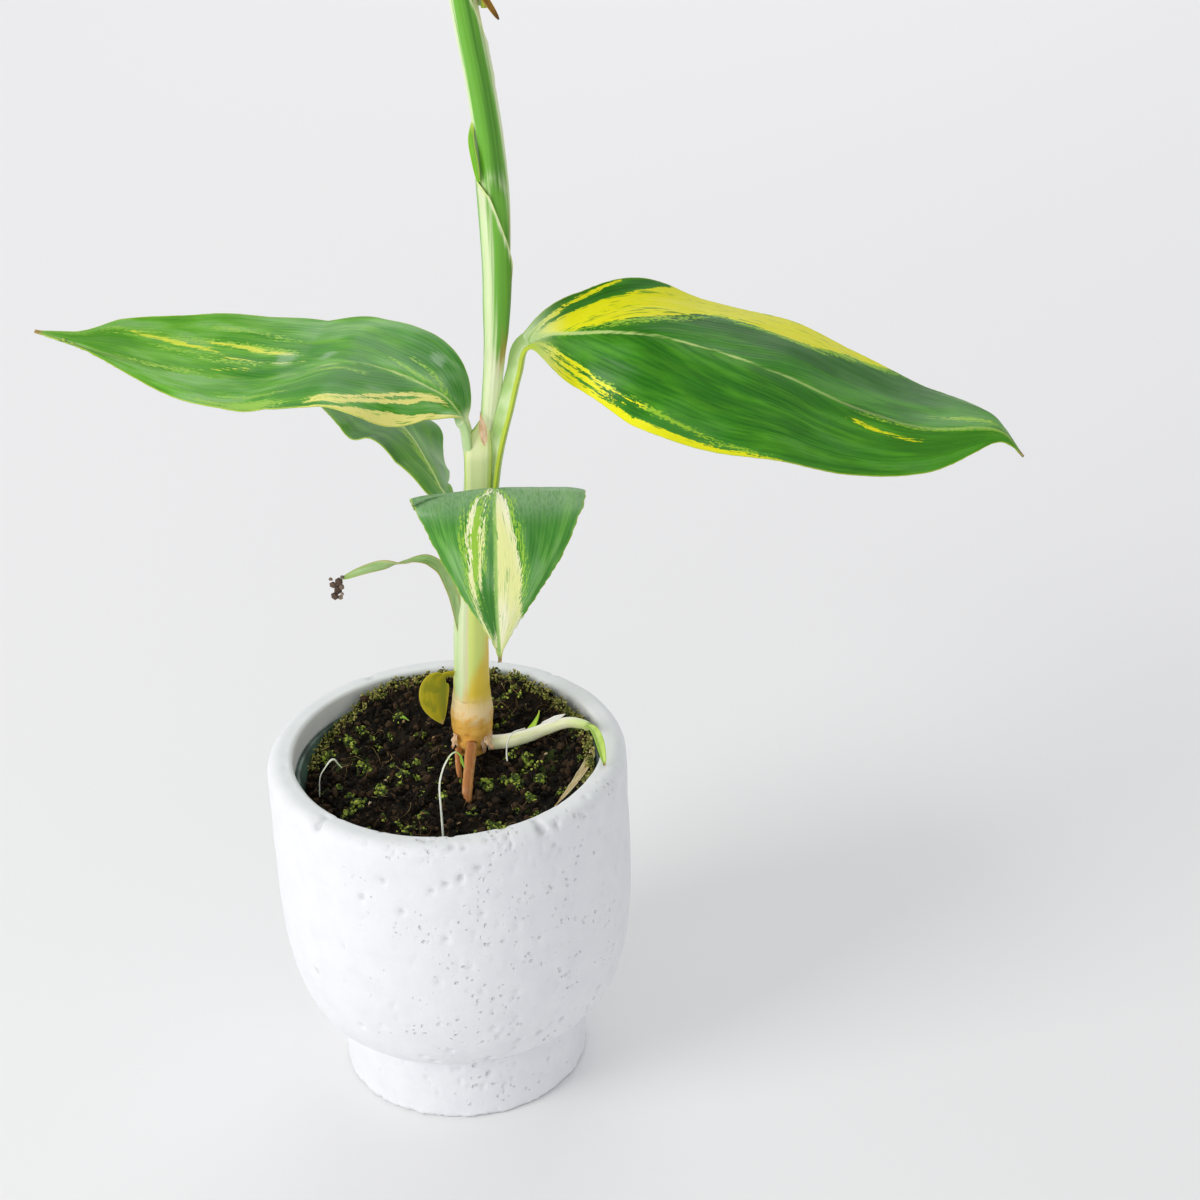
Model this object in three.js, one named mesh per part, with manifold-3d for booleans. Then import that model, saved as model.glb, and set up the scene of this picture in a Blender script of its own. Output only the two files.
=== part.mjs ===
// A young variegated shell ginger standing in a footed white concrete cover pot.
// Millimetres, +Z up. The origin is the centre of the pot's flat underside. +X points to the side
// of the broad right-hand leaf, and -Y to the side where one leaf folds over in front of the stem.
import * as THREE from "three";
import { mergeVertices } from "three/addons/utils/BufferGeometryUtils.js";
import Module from "manifold-3d";

const wasm = await Module();
wasm.setup();

const GAP = 0.35; // clear space between pieces that touch

// Cover pot: a superellipse bowl on a short straight foot, with a flat lip rounded at both edges.
const POT_HEIGHT = 125;
const POT_RADIUS = 60.8;
const POT_BELLY_Z = 82;
const POT_BOWL_POWER = 2.4;
const POT_RIM_RADIUS = 60.4;
const FOOT_RADIUS = 42.2;
const FOOT_HEIGHT = 26;
const FOOT_JOINT_RADIUS = 43.5;
const LIP_OUTER_ROUND = 4.4;
const LIP_INNER_ROUND = 1.5;
const POT_MOUTH_RADIUS = 52.1;
const POT_FLOOR_Z = 38;
const POT_SIDES = 48;

// Thin plastic grow pot standing on the cover pot's floor.
const GROW_BASE_RADIUS = 42;
const GROW_TOP_RADIUS = 50.75;
const GROW_TOP_Z = 117;
const GROW_WALL = 1;
const GROW_FLOOR = 1.6;
const GROW_RIM_WIDTH = 0.9;
const GROW_RIM_DEPTH = 2.5;

// Soil: a tilted surface, highest at the back, with small lumps.
const SOIL_AT_STEM_Z = 116;
const SOIL_RISE_BACK = 0.12;
const SOIL_RISE_RIGHT = 0.03;
const SOIL_HEAP = 4.5; // extra height heaped against the back edge
const SOIL_LUMP = 0.7;
const SOIL_RINGS = 9;
const SOIL_SECTORS = 40;

// Stem axis: base, the lean to the right, and the lean back to the left near the top.
const STEM_X = 7.5;
const STEM_Y = 13;
const STEM_AXIS = [
  [STEM_X, STEM_Y, 104],
  [8.8, STEM_Y, 135],
  [11, STEM_Y, 175],
  [16.3, STEM_Y, 215],
  [21.6, STEM_Y, 250],
  [25.3, STEM_Y, 290],
  [25.2, STEM_Y, 335],
  [20, STEM_Y, 380],
  [16, 14, 410],
];
// Height and radius of the innermost stem, from the hole in the soil to its top.
const STEM_RADII = [
  [104, 5.2],
  [117, 5.5],
  [124, 6.9],
  [131, 7.4],
  [139, 6.8],
  [147, 6.2],
  [175, 5.7],
  [194, 5.3],
  [209, 4],
  [222, 3.3],
  [240, 3],
  [255, 3.2],
  [266, 3.5],
  [285, 4],
  [318, 4.8],
  [335, 4.3],
  [350, 4],
  [366, 3.7],
  [380, 4],
  [396, 3.4],
  [410, 2.8],
];
const STEM_HOLE_RADIUS = 6.8;
const STEM_HOLE_Z = 103;

// Sheaths wrapped round the stem. Each ends in a slanted edge: at topHigh on the side that high
// points to, in degrees round the axis from +X towards +Y, and at topLow opposite.
const SHEATHS = [
  { from: 140, topHigh: 209, topLow: 195, high: 200, over: 0.5 },
  { from: 262, topHigh: 327, topLow: 284, high: 190, over: 0.45 },
  { from: 352, topHigh: 404, topLow: 366, high: 180, over: 0.45 },
];

// Leaves. The spine runs from the foot of the petiole through the blade's midrib to its tip, and
// the blade begins at its point number bladeFrom, counted from 0. heading is the way the leaf
// grows, in degrees from +X towards +Y. Each half of the blade is an arc in its cross-section:
// width is its largest reach, peak where along the blade that lies, full how blunt its ends are,
// fold the angle at the midrib at even steps from base to tip, curl what the arc turns on from
// there to the margin, and wave its margin's ripple: height, count along the blade, and phase in
// turns. roll turns the whole cross-section about the midrib, right-hand side up. Angles are
// degrees.
const FLAT = [0, 1, 0];
const LEAVES = {
  leaf_right: {
    colour: "#2f7d1c",
    heading: 0,
    bladeFrom: 5,
    petioleWidth: 2.1,
    spine: [
      [19, 7.4, 209],
      [21.1, 8, 225],
      [23.4, 8.4, 236],
      [26.1, 9.4, 246],
      [28.4, 11.8, 257.5],
      [32, 13.5, 267.5],
      [49, 10.7, 269.8],
      [70, 7.8, 270.8],
      [91, 5, 265],
      [115, 2.4, 256.8],
      [137, 0, 246],
      [158, -2.4, 240],
      [181, -4.7, 239],
      [190, -7, 230],
    ],
    roll: [-45, -16, -15, -19],
    right: { width: 35.5, peak: 0.41, full: 0.9, fold: [-15, -7, -12], curl: -17, wave: [1.6, 1.5, 0.4] },
    left: { width: 36.5, peak: 0.54, full: 0.74, fold: [-6, 0, -21], curl: -12, wave: [2.2, 1.7, 0] },
  },
  leaf_left: {
    colour: "#3a8a28",
    heading: 180,
    bladeFrom: 3,
    petioleWidth: 2,
    spine: [
      [11.3, 8.7, 212],
      [13.8, 9, 225],
      [14.2, 8.8, 234],
      [14.8, 9, 240],
      [6.3, 13.2, 250],
      [-7, 18.2, 254.6],
      [-24.6, 23.2, 258],
      [-42.3, 27.9, 252.3],
      [-60, 32.6, 248.7],
      [-82.5, 37.3, 251],
      [-105, 42, 255.8],
      [-126.5, 46.6, 262.5],
    ],
    roll: [5, -18, 7, 12],
    right: { width: 37, peak: 0.41, full: 0.79, fold: [14, 13, 10], curl: 5, wave: [-2.1, 1.6, 0.37] },
    left: { width: 31, peak: 0.31, full: 1, fold: [-7, -3, 3], curl: -10, wave: [3.6, 1.7, 0.36] },
  },
  leaf_back: {
    colour: "#3f8f2a",
    heading: 180,
    bladeFrom: 2,
    petioleWidth: 1.9,
    spine: [
      [8.5, 18.8, 197],
      [6.2, 18.3, 206],
      [4.4, 17.5, 214.5],
      [0, 25, 221.4],
      [-8.6, 35, 227.6],
      [-20, 45, 229.5],
      [-34, 55, 231.5],
      [-50, 65, 232],
    ],
    roll: [-2, -9, -1],
    right: { width: 24.5, peak: 0.41, full: 0.79, fold: [5, -6, 5], curl: -13, wave: FLAT },
    left: { width: 21.5, peak: 0.44, full: 0.81, fold: [-9, 1, 5], curl: -15, wave: FLAT },
  },
  leaf_front: {
    colour: "#2f7434",
    heading: -90,
    bladeFrom: 0,
    petioleWidth: 2.4,
    spine: [
      [15.5, 6.5, 199],
      [19.2, -2, 217],
      [21.6, -11, 228.2],
      [21.4, -19.4, 224.4],
      [21.2, -22.4, 213.7],
      [20.6, -25, 195.2],
      [20.5, -24, 171.6],
    ],
    roll: [0, 0, 0],
    right: { width: 27.5, peak: 0.33, full: 0.74, fold: [-1, -3, 5], curl: -8, wave: FLAT },
    left: { width: 29.5, peak: 0.36, full: 0.82, fold: [0, 0, 5], curl: -6, wave: FLAT },
  },
  leaf_twisted: {
    colour: "#7fae63",
    heading: 180,
    bladeFrom: 0,
    petioleWidth: 0.9,
    spine: [
      [6.6, 7.2, 172],
      [4.6, 5.9, 183.2],
      [1.9, 4.6, 190],
      [-2.2, 3.2, 195.6],
      [-9.8, 1.2, 196.2],
      [-18, -1, 197.4],
      [-23.8, -2, 197.6],
      [-29.9, -3, 193.6],
    ],
    roll: [-35, 10, 75, 20, -20],
    right: { width: 1.6, peak: 0.55, full: 0.5, fold: [20, 10, 0], curl: 5, wave: FLAT },
    left: { width: 1.7, peak: 0.55, full: 0.5, fold: [20, 10, 0], curl: 5, wave: FLAT },
  },
  leaf_yellow: {
    colour: "#b3a81e",
    heading: 180,
    bladeFrom: 0,
    petioleWidth: 1.1,
    spine: [
      [2.6, 10, 146.6],
      [-1, 8.8, 147],
      [-4.4, 7.4, 144.6],
      [-5.4, 6.4, 139],
      [-3.4, 6.6, 130.6],
    ],
    roll: [-70, -60, -50],
    right: { width: 4.4, peak: 0.4, full: 0.5, fold: [0, 0, 0], curl: -15, wave: FLAT },
    left: { width: 4.4, peak: 0.4, full: 0.5, fold: [0, 0, 0], curl: -15, wave: FLAT },
  },
  side_shoot_leaf: {
    colour: "#7cb83c",
    heading: -90,
    bladeFrom: 0,
    petioleWidth: 1.2,
    spine: [
      [46.9, 3.9, 129.4],
      [49, 0.4, 129.8],
      [50.8, -6, 129.9],
      [52, -12.5, 128.6],
      [52.9, -16.8, 126],
    ],
    roll: [0, 0, 0],
    right: { width: 1.6, peak: 0.45, full: 0.5, fold: [20, 30, 20], curl: 10, wave: FLAT },
    left: { width: 2.6, peak: 0.45, full: 0.5, fold: [20, 20, 10], curl: 10, wave: FLAT },
  },
  side_shoot_bract: {
    colour: "#a5cc3d",
    heading: 20,
    bladeFrom: 0,
    petioleWidth: 0.8,
    spine: [
      [27.6, 14.2, 124],
      [29.4, 16, 124.8],
      [30.8, 18.4, 126.6],
    ],
    roll: [0, 0],
    right: { width: 1.1, peak: 0.35, full: 0.5, fold: [20, 20], curl: 0, wave: FLAT },
    left: { width: 1.1, peak: 0.35, full: 0.5, fold: [20, 20], curl: 0, wave: FLAT },
  },
  dry_strip: {
    colour: "#b0946a",
    heading: -100,
    bladeFrom: 0,
    petioleWidth: 0.8,
    spine: [
      [47.9, 7.6, 119.6],
      [47, 1.6, 117.6],
      [43.6, -6.8, 116.4],
      [37.6, -14.8, 115.2],
      [33, -18.6, 114.4],
    ],
    roll: [15, 0],
    right: { width: 1.3, peak: 0.4, full: 0.35, fold: [5, 0], curl: 0, wave: FLAT },
    left: { width: 1.3, peak: 0.4, full: 0.35, fold: [5, 0], curl: 0, wave: FLAT },
  },
  sheath_lobe: {
    colour: "#6bb31a",
    heading: 110,
    bladeFrom: 0,
    petioleWidth: 0.9,
    spine: [
      [20.9, 8.6, 318.6],
      [20.2, 9, 326],
      [19.4, 10, 334],
      [19.9, 10.6, 341],
    ],
    roll: [70, 70],
    right: { width: 1.4, peak: 0.5, full: 0.5, fold: [10, 10], curl: 10, wave: FLAT },
    left: { width: 1.4, peak: 0.5, full: 0.5, fold: [10, 10], curl: 10, wave: FLAT },
  },
  dry_tip: {
    colour: "#8a6230",
    heading: 0,
    bladeFrom: 0,
    petioleWidth: 0.7,
    spine: [
      [22.4, 9, 392],
      [23.7, 9.2, 386],
      [26.9, 10.6, 380],
      [30.2, 12.4, 373.6],
    ],
    roll: [-60, -60],
    right: { width: 1.1, peak: 0.5, full: 0.5, fold: [15, 15], curl: 0, wave: FLAT },
    left: { width: 1.1, peak: 0.5, full: 0.5, fold: [15, 15], curl: 0, wave: FLAT },
  },
  base_scale_right: {
    colour: "#d9b283",
    heading: -30,
    bladeFrom: 0,
    petioleWidth: 0.9,
    spine: [
      [14.6, 8, 125],
      [15.1, 7.2, 121.4],
      [15.4, 6.6, 118.2],
    ],
    roll: [0, 0],
    right: { width: 1.9, peak: 0.5, full: 0.4, fold: [-8, -8], curl: 0, wave: FLAT },
    left: { width: 1.9, peak: 0.5, full: 0.4, fold: [-8, -8], curl: 0, wave: FLAT },
  },
  base_scale_left: {
    colour: "#c79a78",
    heading: -140,
    bladeFrom: 0,
    petioleWidth: 0.9,
    spine: [
      [2.2, 7.4, 126.4],
      [1.2, 6.6, 123],
      [0.6, 6.2, 119.9],
    ],
    roll: [0, 0],
    right: { width: 1.5, peak: 0.5, full: 0.4, fold: [-8, -8], curl: 0, wave: FLAT },
    left: { width: 1.5, peak: 0.5, full: 0.4, fold: [-8, -8], curl: 0, wave: FLAT },
  },
  leaf_top_right: {
    colour: "#2f7d1c",
    heading: 15,
    bladeFrom: 3,
    petioleWidth: 2,
    spine: [
      [25.6, 13.6, 382.6],
      [26.8, 14, 392],
      [30, 15, 403],
      [37, 17, 414],
      [55, 22.5, 430],
      [78, 29, 438],
      [101, 35, 437],
      [123, 41, 428],
      [141, 46, 413],
    ],
    roll: [-10, -6, -6, -8],
    right: { width: 29, peak: 0.42, full: 0.85, fold: [4, 2, -6], curl: -14, wave: [1.6, 1.6, 0.2] },
    left: { width: 29, peak: 0.45, full: 0.8, fold: [4, 2, -6], curl: -12, wave: [1.6, 1.4, 0.6] },
  },
  leaf_top_left: {
    colour: "#3a8a28",
    heading: 190,
    bladeFrom: 3,
    petioleWidth: 2,
    spine: [
      [12.5, 12.8, 406],
      [10.2, 12.2, 413],
      [6.4, 11, 422],
      [0, 9, 432],
      [-17, 5, 447],
      [-38, 1, 455],
      [-59, -3, 455],
      [-79, -7, 447],
      [-96, -10, 433],
    ],
    roll: [6, 4, 4, 6],
    right: { width: 27, peak: 0.42, full: 0.85, fold: [4, 2, -6], curl: -12, wave: [1.5, 1.5, 0.1] },
    left: { width: 27, peak: 0.45, full: 0.8, fold: [4, 2, -6], curl: -14, wave: [1.5, 1.7, 0.5] },
  },
};
const BLADE_THICKNESS = 0.8;
const PETIOLE_THICKNESS = 3;
const RIB_THICKNESS = 1.9; // blade and rib together, where the petiole runs into the blade
const RIB_TIP = 0.2; // what is left of the rib at the blade's tip
const RIB_HALF_WIDTH = 2.4;
const PETIOLE_FOLD = 25; // a petiole is a shallow channel, open upwards
const CHANNEL_END = 0.12; // how far along the blade the petiole's channel runs on
const BLADE_COLUMNS = [-1, -0.7, -0.38, -0.08, 0, 0.08, 0.38, 0.7, 1];
const SMALL_COLUMNS = [-1, -0.4, 0, 0.4, 1];
const SMALL_BLADE = 6; // below this half-width a leaf is small and thin all over
const BLADE_STATIONS = 20;
const SMALL_STATIONS = 9;
const LENGTH_STEPS = 24; // steps from one spine point to the next when its length is measured

// The rolled young leaf at the very top, as a slim spindle.
const SPEAR_AXIS = [
  [15.9, 14.1, 410.7],
  [12, 15, 440],
  [7, 16, 480],
  [4, 16.5, 518],
];
const SPEAR_RADII = [2.4, 3.6, 4.2, 4, 3.2, 2, 0.6];

// Side shoot and stilt roots: axis points and radii at even steps along them.
const SHOOT_AXIS = [
  [15.3, 11.8, 119],
  [20, 11.4, 119.3],
  [26.6, 11.6, 120.8],
  [34, 12.2, 123.2],
  [41, 10.6, 126.2],
  [46.4, 5.4, 128.4],
];
const SHOOT_RADII = [2.2, 2.4, 2.2, 1.9, 1.6, 1.4];
const ROOTS = {
  root_front: {
    axis: [
      [8, 5.2, 121.4],
      [7.3, -3, 118.6],
      [6.7, -10.6, 116],
      [6.4, -14.6, 112],
      [6.3, -15.4, 107],
    ],
    radii: [2, 1.9, 1.7, 1.5],
    hole: { x: 6.5, y: -14.4, radius: 3 },
  },
  root_back: {
    axis: [
      [3.4, 7.2, 117.9],
      [3.3, 3.6, 117.2],
      [3.6, -0.6, 115.6],
      [3.7, -2.6, 112],
      [3.7, -3, 109.5],
    ],
    radii: [1.1, 1, 0.9, 0.8],
    hole: { x: 3.7, y: -1.9, radius: 2.1 },
  },
};
const HOLE_SIDES = 20;

// Soil crumbs stuck to the twisted leaf's tip: centre and half sizes.
const CRUMBS = [
  { at: [-31.9, -3, 191.4], half: [2.3, 2.1, 2.9] },
  { at: [-31.5, -3, 187.5], half: [1.5, 1.4, 2] },
];

const radians = THREE.MathUtils.degToRad;
const vector = (point) => new THREE.Vector3(...point);
const spineCurve = (points) => new THREE.CatmullRomCurve3(points.map(vector), false, "catmullrom", 0.5);

// Value at fraction u of a list spread evenly over 0 to 1, easing from one entry to the next.
function along(list, u) {
  const place = THREE.MathUtils.clamp(u, 0, 1) * (list.length - 1);
  const index = Math.min(Math.floor(place), list.length - 2);
  return THREE.MathUtils.lerp(list[index], list[index + 1], THREE.MathUtils.smoothstep(place - index, 0, 1));
}

// Value at x of a table of [x, value] rows, easing from one row to the next.
function fromTable(table, x) {
  const next = Math.max(1, table.findIndex((row) => row[0] >= x));
  const upper = table[x > table.at(-1)[0] ? table.length - 1 : next];
  const lower = table[table.indexOf(upper) - 1];
  return THREE.MathUtils.lerp(lower[1], upper[1], THREE.MathUtils.smoothstep(x, lower[0], upper[0]));
}

// Closed body through a row of closed loops of equally many points. Faces beside a loop's first
// half split one way and those beside its second half the other way, so that a thin blade's two
// faces are split alike. Each end is closed by strips between the loop's halves.
function loft(loops) {
  const size = loops[0].length;
  const half = size / 2;
  const index = [];
  for (let k = 0; k + 1 < loops.length; k++) {
    for (let j = 0; j < size; j++) {
      const [a, b] = [k * size + j, k * size + ((j + 1) % size)];
      const [c, d] = [a + size, b + size];
      if (j < half) index.push(a, b, d, a, d, c);
      else index.push(a, b, c, b, d, c);
    }
  }
  const last = (loops.length - 1) * size;
  for (let j = 0; j + 1 < half; j++) {
    const [a, b, c, d] = [j, j + 1, size - 2 - j, size - 1 - j];
    index.push(a, c, b, a, d, c);
    index.push(last + a, last + b, last + c, last + a, last + c, last + d);
  }
  const geometry = new THREE.BufferGeometry().setFromPoints(loops.flat());
  return geometry.setIndex(index);
}

// A geometry as a manifold-3d solid, and back.
function solidOf(geometry) {
  const bare = new THREE.BufferGeometry().setAttribute("position", geometry.getAttribute("position"));
  const merged = mergeVertices(bare.setIndex(geometry.index), 1e-4);
  return new wasm.Manifold(
    new wasm.Mesh({
      numProp: 3,
      vertProperties: merged.attributes.position.array,
      triVerts: new Uint32Array(merged.index.array),
    }),
  );
}
function geometryOf(solid) {
  const mesh = solid.getMesh();
  const geometry = new THREE.BufferGeometry();
  geometry.setAttribute("position", new THREE.BufferAttribute(mesh.vertProperties, 3));
  return geometry.setIndex(new THREE.BufferAttribute(mesh.triVerts, 1));
}

function meshOf(name, geometry, colour, roughness = 0.5) {
  const shaped = geometry.clone();
  shaped.computeVertexNormals();
  const material = new THREE.MeshStandardMaterial({ color: colour, roughness, metalness: 0 });
  const mesh = new THREE.Mesh(shaped, material);
  mesh.name = name;
  return mesh;
}

// Tube round a curve. radius(u) is its radius at fraction u, and end(angle) how far along the
// curve, from 0 to 1, the tube reaches on that side. Angles count from the direction zero.
function tube(curve, { radius, sides, steps, zero, start = 0, end = () => 1 }) {
  const loops = [];
  for (let k = 0; k <= steps; k++) {
    const loop = [];
    for (let j = 0; j < sides; j++) {
      const angle = (j / sides) * 2 * Math.PI;
      const u = THREE.MathUtils.lerp(start, end(angle), k / steps);
      const tangent = curve.getTangentAt(u);
      const across = zero.clone().addScaledVector(tangent, -zero.dot(tangent)).normalize();
      const beside = tangent.clone().cross(across);
      const reach = radius(u);
      const point = curve.getPointAt(u);
      point.addScaledVector(across, reach * Math.cos(angle));
      loop.push(point.addScaledVector(beside, reach * Math.sin(angle)));
    }
    loops.push(loop);
  }
  return loft(loops);
}

// Half-width of a blade half at fraction u: a hump that is zero at both ends and 1 at its peak.
function bladeProfile({ peak, full }, u) {
  const rest = (full * (1 - peak)) / peak;
  return (u / peak) ** full * ((1 - u) / (1 - peak)) ** rest;
}

function leafGeometry(leaf) {
  const curve = spineCurve(leaf.spine);
  curve.arcLengthDivisions = (leaf.spine.length - 1) * LENGTH_STEPS;
  const lengths = curve.getLengths();
  const bladeStart = lengths[leaf.bladeFrom * LENGTH_STEPS] / lengths.at(-1);
  const small = Math.max(leaf.right.width, leaf.left.width) < SMALL_BLADE;
  const columns = small ? SMALL_COLUMNS : BLADE_COLUMNS;
  const bladeSteps = small ? SMALL_STATIONS : BLADE_STATIONS;
  const petioleSteps = 2 * leaf.bladeFrom;
  const heading = new THREE.Vector3(Math.cos(radians(leaf.heading)), Math.sin(radians(leaf.heading)), 0);
  const rightHand = heading.cross(new THREE.Vector3(0, 0, 1));
  const loops = [];
  for (let k = 0; k <= petioleSteps + bladeSteps; k++) {
    const step = Math.max(0, k - petioleSteps) / bladeSteps;
    const eased = THREE.MathUtils.lerp(step, (1 - Math.cos(Math.PI * step)) / 2, 0.5);
    const onBlade = THREE.MathUtils.clamp(eased, 0.002, 0.998);
    const place =
      k < petioleSteps ? (bladeStart * k) / petioleSteps : THREE.MathUtils.lerp(bladeStart, 1, eased);
    const tangent = curve.getTangentAt(place);
    const side = rightHand.clone().addScaledVector(tangent, -rightHand.dot(tangent)).normalize();
    const face = side.clone().cross(tangent);
    const roll = radians(along(leaf.roll, eased));
    const right = side.clone().multiplyScalar(Math.cos(roll)).addScaledVector(face, Math.sin(roll));
    const up = face.clone().multiplyScalar(Math.cos(roll)).addScaledVector(side, -Math.sin(roll));
    const stalk = leaf.petioleWidth * (1 - THREE.MathUtils.smoothstep(eased, 0, 1) * 0.75);
    const channel = 1 - THREE.MathUtils.smoothstep(eased, 0, CHANNEL_END);
    const ribHeight = small
      ? 0
      : THREE.MathUtils.lerp(RIB_THICKNESS - BLADE_THICKNESS, RIB_TIP, eased) +
        channel * (PETIOLE_THICKNESS - RIB_THICKNESS);
    const top = [];
    const bottom = [];
    for (const column of columns) {
      const half = column < 0 ? leaf.left : leaf.right;
      const sign = column < 0 ? -1 : 1;
      const across = Math.abs(column);
      const grown = k < petioleSteps ? 0 : half.width * bladeProfile(half, onBlade);
      const reach = Math.max(stalk, grown);
      const fold = radians(THREE.MathUtils.lerp(along(half.fold, eased), small ? 0 : PETIOLE_FOLD, channel));
      const curl = radians(half.curl) * across * (1 - channel) || 1e-6;
      const out = (reach * across * (Math.sin(fold + curl) - Math.sin(fold))) / curl;
      const rise = (reach * across * (Math.cos(fold) - Math.cos(fold + curl))) / curl;
      const [height, count, phase] = half.wave;
      const ripple =
        height * across ** 2 * Math.sin(2 * Math.PI * (count * eased + phase)) *
        Math.min(1, (2 * grown) / half.width);
      const point = curve.getPointAt(place).addScaledVector(right, sign * out).addScaledVector(up, rise + ripple);
      const lean = fold + curl;
      const normal = up.clone().multiplyScalar(Math.cos(lean)).addScaledVector(right, -sign * Math.sin(lean));
      const rib = ribHeight * Math.max(0, 1 - (across * reach) / RIB_HALF_WIDTH);
      top.push(point);
      bottom.unshift(point.clone().addScaledVector(normal, -(BLADE_THICKNESS + rib)));
    }
    loops.push([...top, ...bottom]);
  }
  return loft(loops);
}

// Points of a quarter circle in the pot's profile, from angle a quarter turn on.
function quarterRound(radius, z, round, from, steps) {
  return Array.from({ length: steps + 1 }, (_, k) => {
    const angle = from + ((k / steps) * Math.PI) / 2;
    return new THREE.Vector2(radius + round * Math.cos(angle), z + round * Math.sin(angle));
  });
}

// Cover pot: outer superellipse bowl and foot, lip, and the hollow that the grow pot stands in.
function potGeometry() {
  const profile = [new THREE.Vector2(0, 0), new THREE.Vector2(FOOT_RADIUS - 1, 0)];
  profile.push(new THREE.Vector2(FOOT_RADIUS, 1), new THREE.Vector2(FOOT_RADIUS, FOOT_HEIGHT));
  const bowlDepth = POT_BELLY_Z - FOOT_HEIGHT - 1.5;
  const exponent = 2 / POT_BOWL_POWER;
  const bowlSteps = 8;
  for (let k = 0; k <= bowlSteps; k++) {
    const angle = ((1 - k / bowlSteps) * Math.PI) / 2;
    const radius = FOOT_JOINT_RADIUS + (POT_RADIUS - FOOT_JOINT_RADIUS) * Math.cos(angle) ** exponent;
    profile.push(new THREE.Vector2(radius, POT_BELLY_Z - bowlDepth * Math.sin(angle) ** exponent));
  }
  const [outer, inner] = [LIP_OUTER_ROUND, LIP_INNER_ROUND];
  profile.push(...quarterRound(POT_RIM_RADIUS - outer, POT_HEIGHT - outer, outer, 0, 4));
  profile.push(...quarterRound(POT_MOUTH_RADIUS + inner, POT_HEIGHT - inner, inner, Math.PI / 2, 2));
  profile.push(new THREE.Vector2(POT_MOUTH_RADIUS, 100), new THREE.Vector2(49.6, 48));
  profile.push(new THREE.Vector2(46, POT_FLOOR_Z + 2), new THREE.Vector2(42, POT_FLOOR_Z));
  profile.push(new THREE.Vector2(0, POT_FLOOR_Z));
  return new THREE.LatheGeometry(profile, POT_SIDES);
}

// Grow pot: a tapered cup with a small turned-out rim.
function growPotGeometry() {
  const base = POT_FLOOR_Z + GAP;
  const rimRadius = GROW_TOP_RADIUS + GROW_RIM_WIDTH;
  const points = [
    [0, base],
    [GROW_BASE_RADIUS - 1.2, base],
    [GROW_BASE_RADIUS, base + 1.2],
    [GROW_TOP_RADIUS, GROW_TOP_Z - GROW_RIM_DEPTH],
    [rimRadius, GROW_TOP_Z - GROW_RIM_DEPTH],
    [rimRadius, GROW_TOP_Z],
    [GROW_TOP_RADIUS - GROW_WALL, GROW_TOP_Z],
    [GROW_BASE_RADIUS - GROW_WALL, base + GROW_FLOOR],
    [0, base + GROW_FLOOR],
  ];
  return new THREE.LatheGeometry(points.map((p) => new THREE.Vector2(...p)), POT_SIDES);
}

function soilHeight(x, y) {
  const tilt = SOIL_RISE_BACK * (y - STEM_Y) + SOIL_RISE_RIGHT * (x - STEM_X);
  const heap = SOIL_HEAP * THREE.MathUtils.smoothstep(y, 20, 48);
  const clearOfStem = THREE.MathUtils.smoothstep(Math.hypot(x - STEM_X, y - STEM_Y), 6, 12);
  const lumps = Math.sin(0.42 * x + 1) * Math.cos(0.37 * y) + 0.6 * Math.sin(0.9 * x - 0.7 * y);
  return SOIL_AT_STEM_Z + tilt + heap + SOIL_LUMP * clearOfStem * lumps;
}

// Soil: rings of a tilted, lumpy top, closed by a side that tapers like the grow pot and by a flat
// base, with plain holes for the stem and the roots.
function soilGeometry() {
  const base = POT_FLOOR_Z + 2 * GAP + GROW_FLOOR;
  const taper = (GROW_TOP_RADIUS - GROW_BASE_RADIUS) / (GROW_TOP_Z - POT_FLOOR_Z);
  const mouth = GROW_TOP_RADIUS - GROW_WALL - 3 * GAP;
  const wallAt = (z) => mouth - taper * Math.max(0, GROW_TOP_Z - z);
  const edgeAt = (angle) => wallAt(soilHeight(mouth * Math.cos(angle), mouth * Math.sin(angle)));
  const loops = [];
  for (let k = 1; k <= SOIL_RINGS; k++) {
    loops.push(soilRing((angle) => (edgeAt(angle) * k) / SOIL_RINGS, soilHeight));
  }
  loops.push(soilRing(() => wallAt(base), () => base));
  loops.push(soilRing(() => wallAt(base) / 2, () => base));
  loops.forEach((loop) => loop.reverse());
  let soil = solidOf(loft(loops));
  const holes = Object.values(ROOTS).map(({ axis, hole }) => ({ ...hole, z: axis.at(-1)[2] - 1 }));
  holes.push({ x: STEM_X, y: STEM_Y, radius: STEM_HOLE_RADIUS, z: STEM_HOLE_Z });
  for (const hole of holes) soil = soil.subtract(solidOf(boreGeometry(hole)));
  return geometryOf(soil);
}
function soilRing(radiusAt, height) {
  return Array.from({ length: SOIL_SECTORS }, (_, j) => {
    const angle = (j / SOIL_SECTORS) * 2 * Math.PI;
    const [x, y] = [radiusAt(angle) * Math.cos(angle), radiusAt(angle) * Math.sin(angle)];
    return new THREE.Vector3(x, y, height(x, y));
  });
}
function boreGeometry({ x, y, radius, z }) {
  const depth = 40;
  const bore = new THREE.CylinderGeometry(radius, radius, depth, HOLE_SIDES).rotateX(Math.PI / 2);
  return bore.translate(x, y, z + depth / 2);
}

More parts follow.
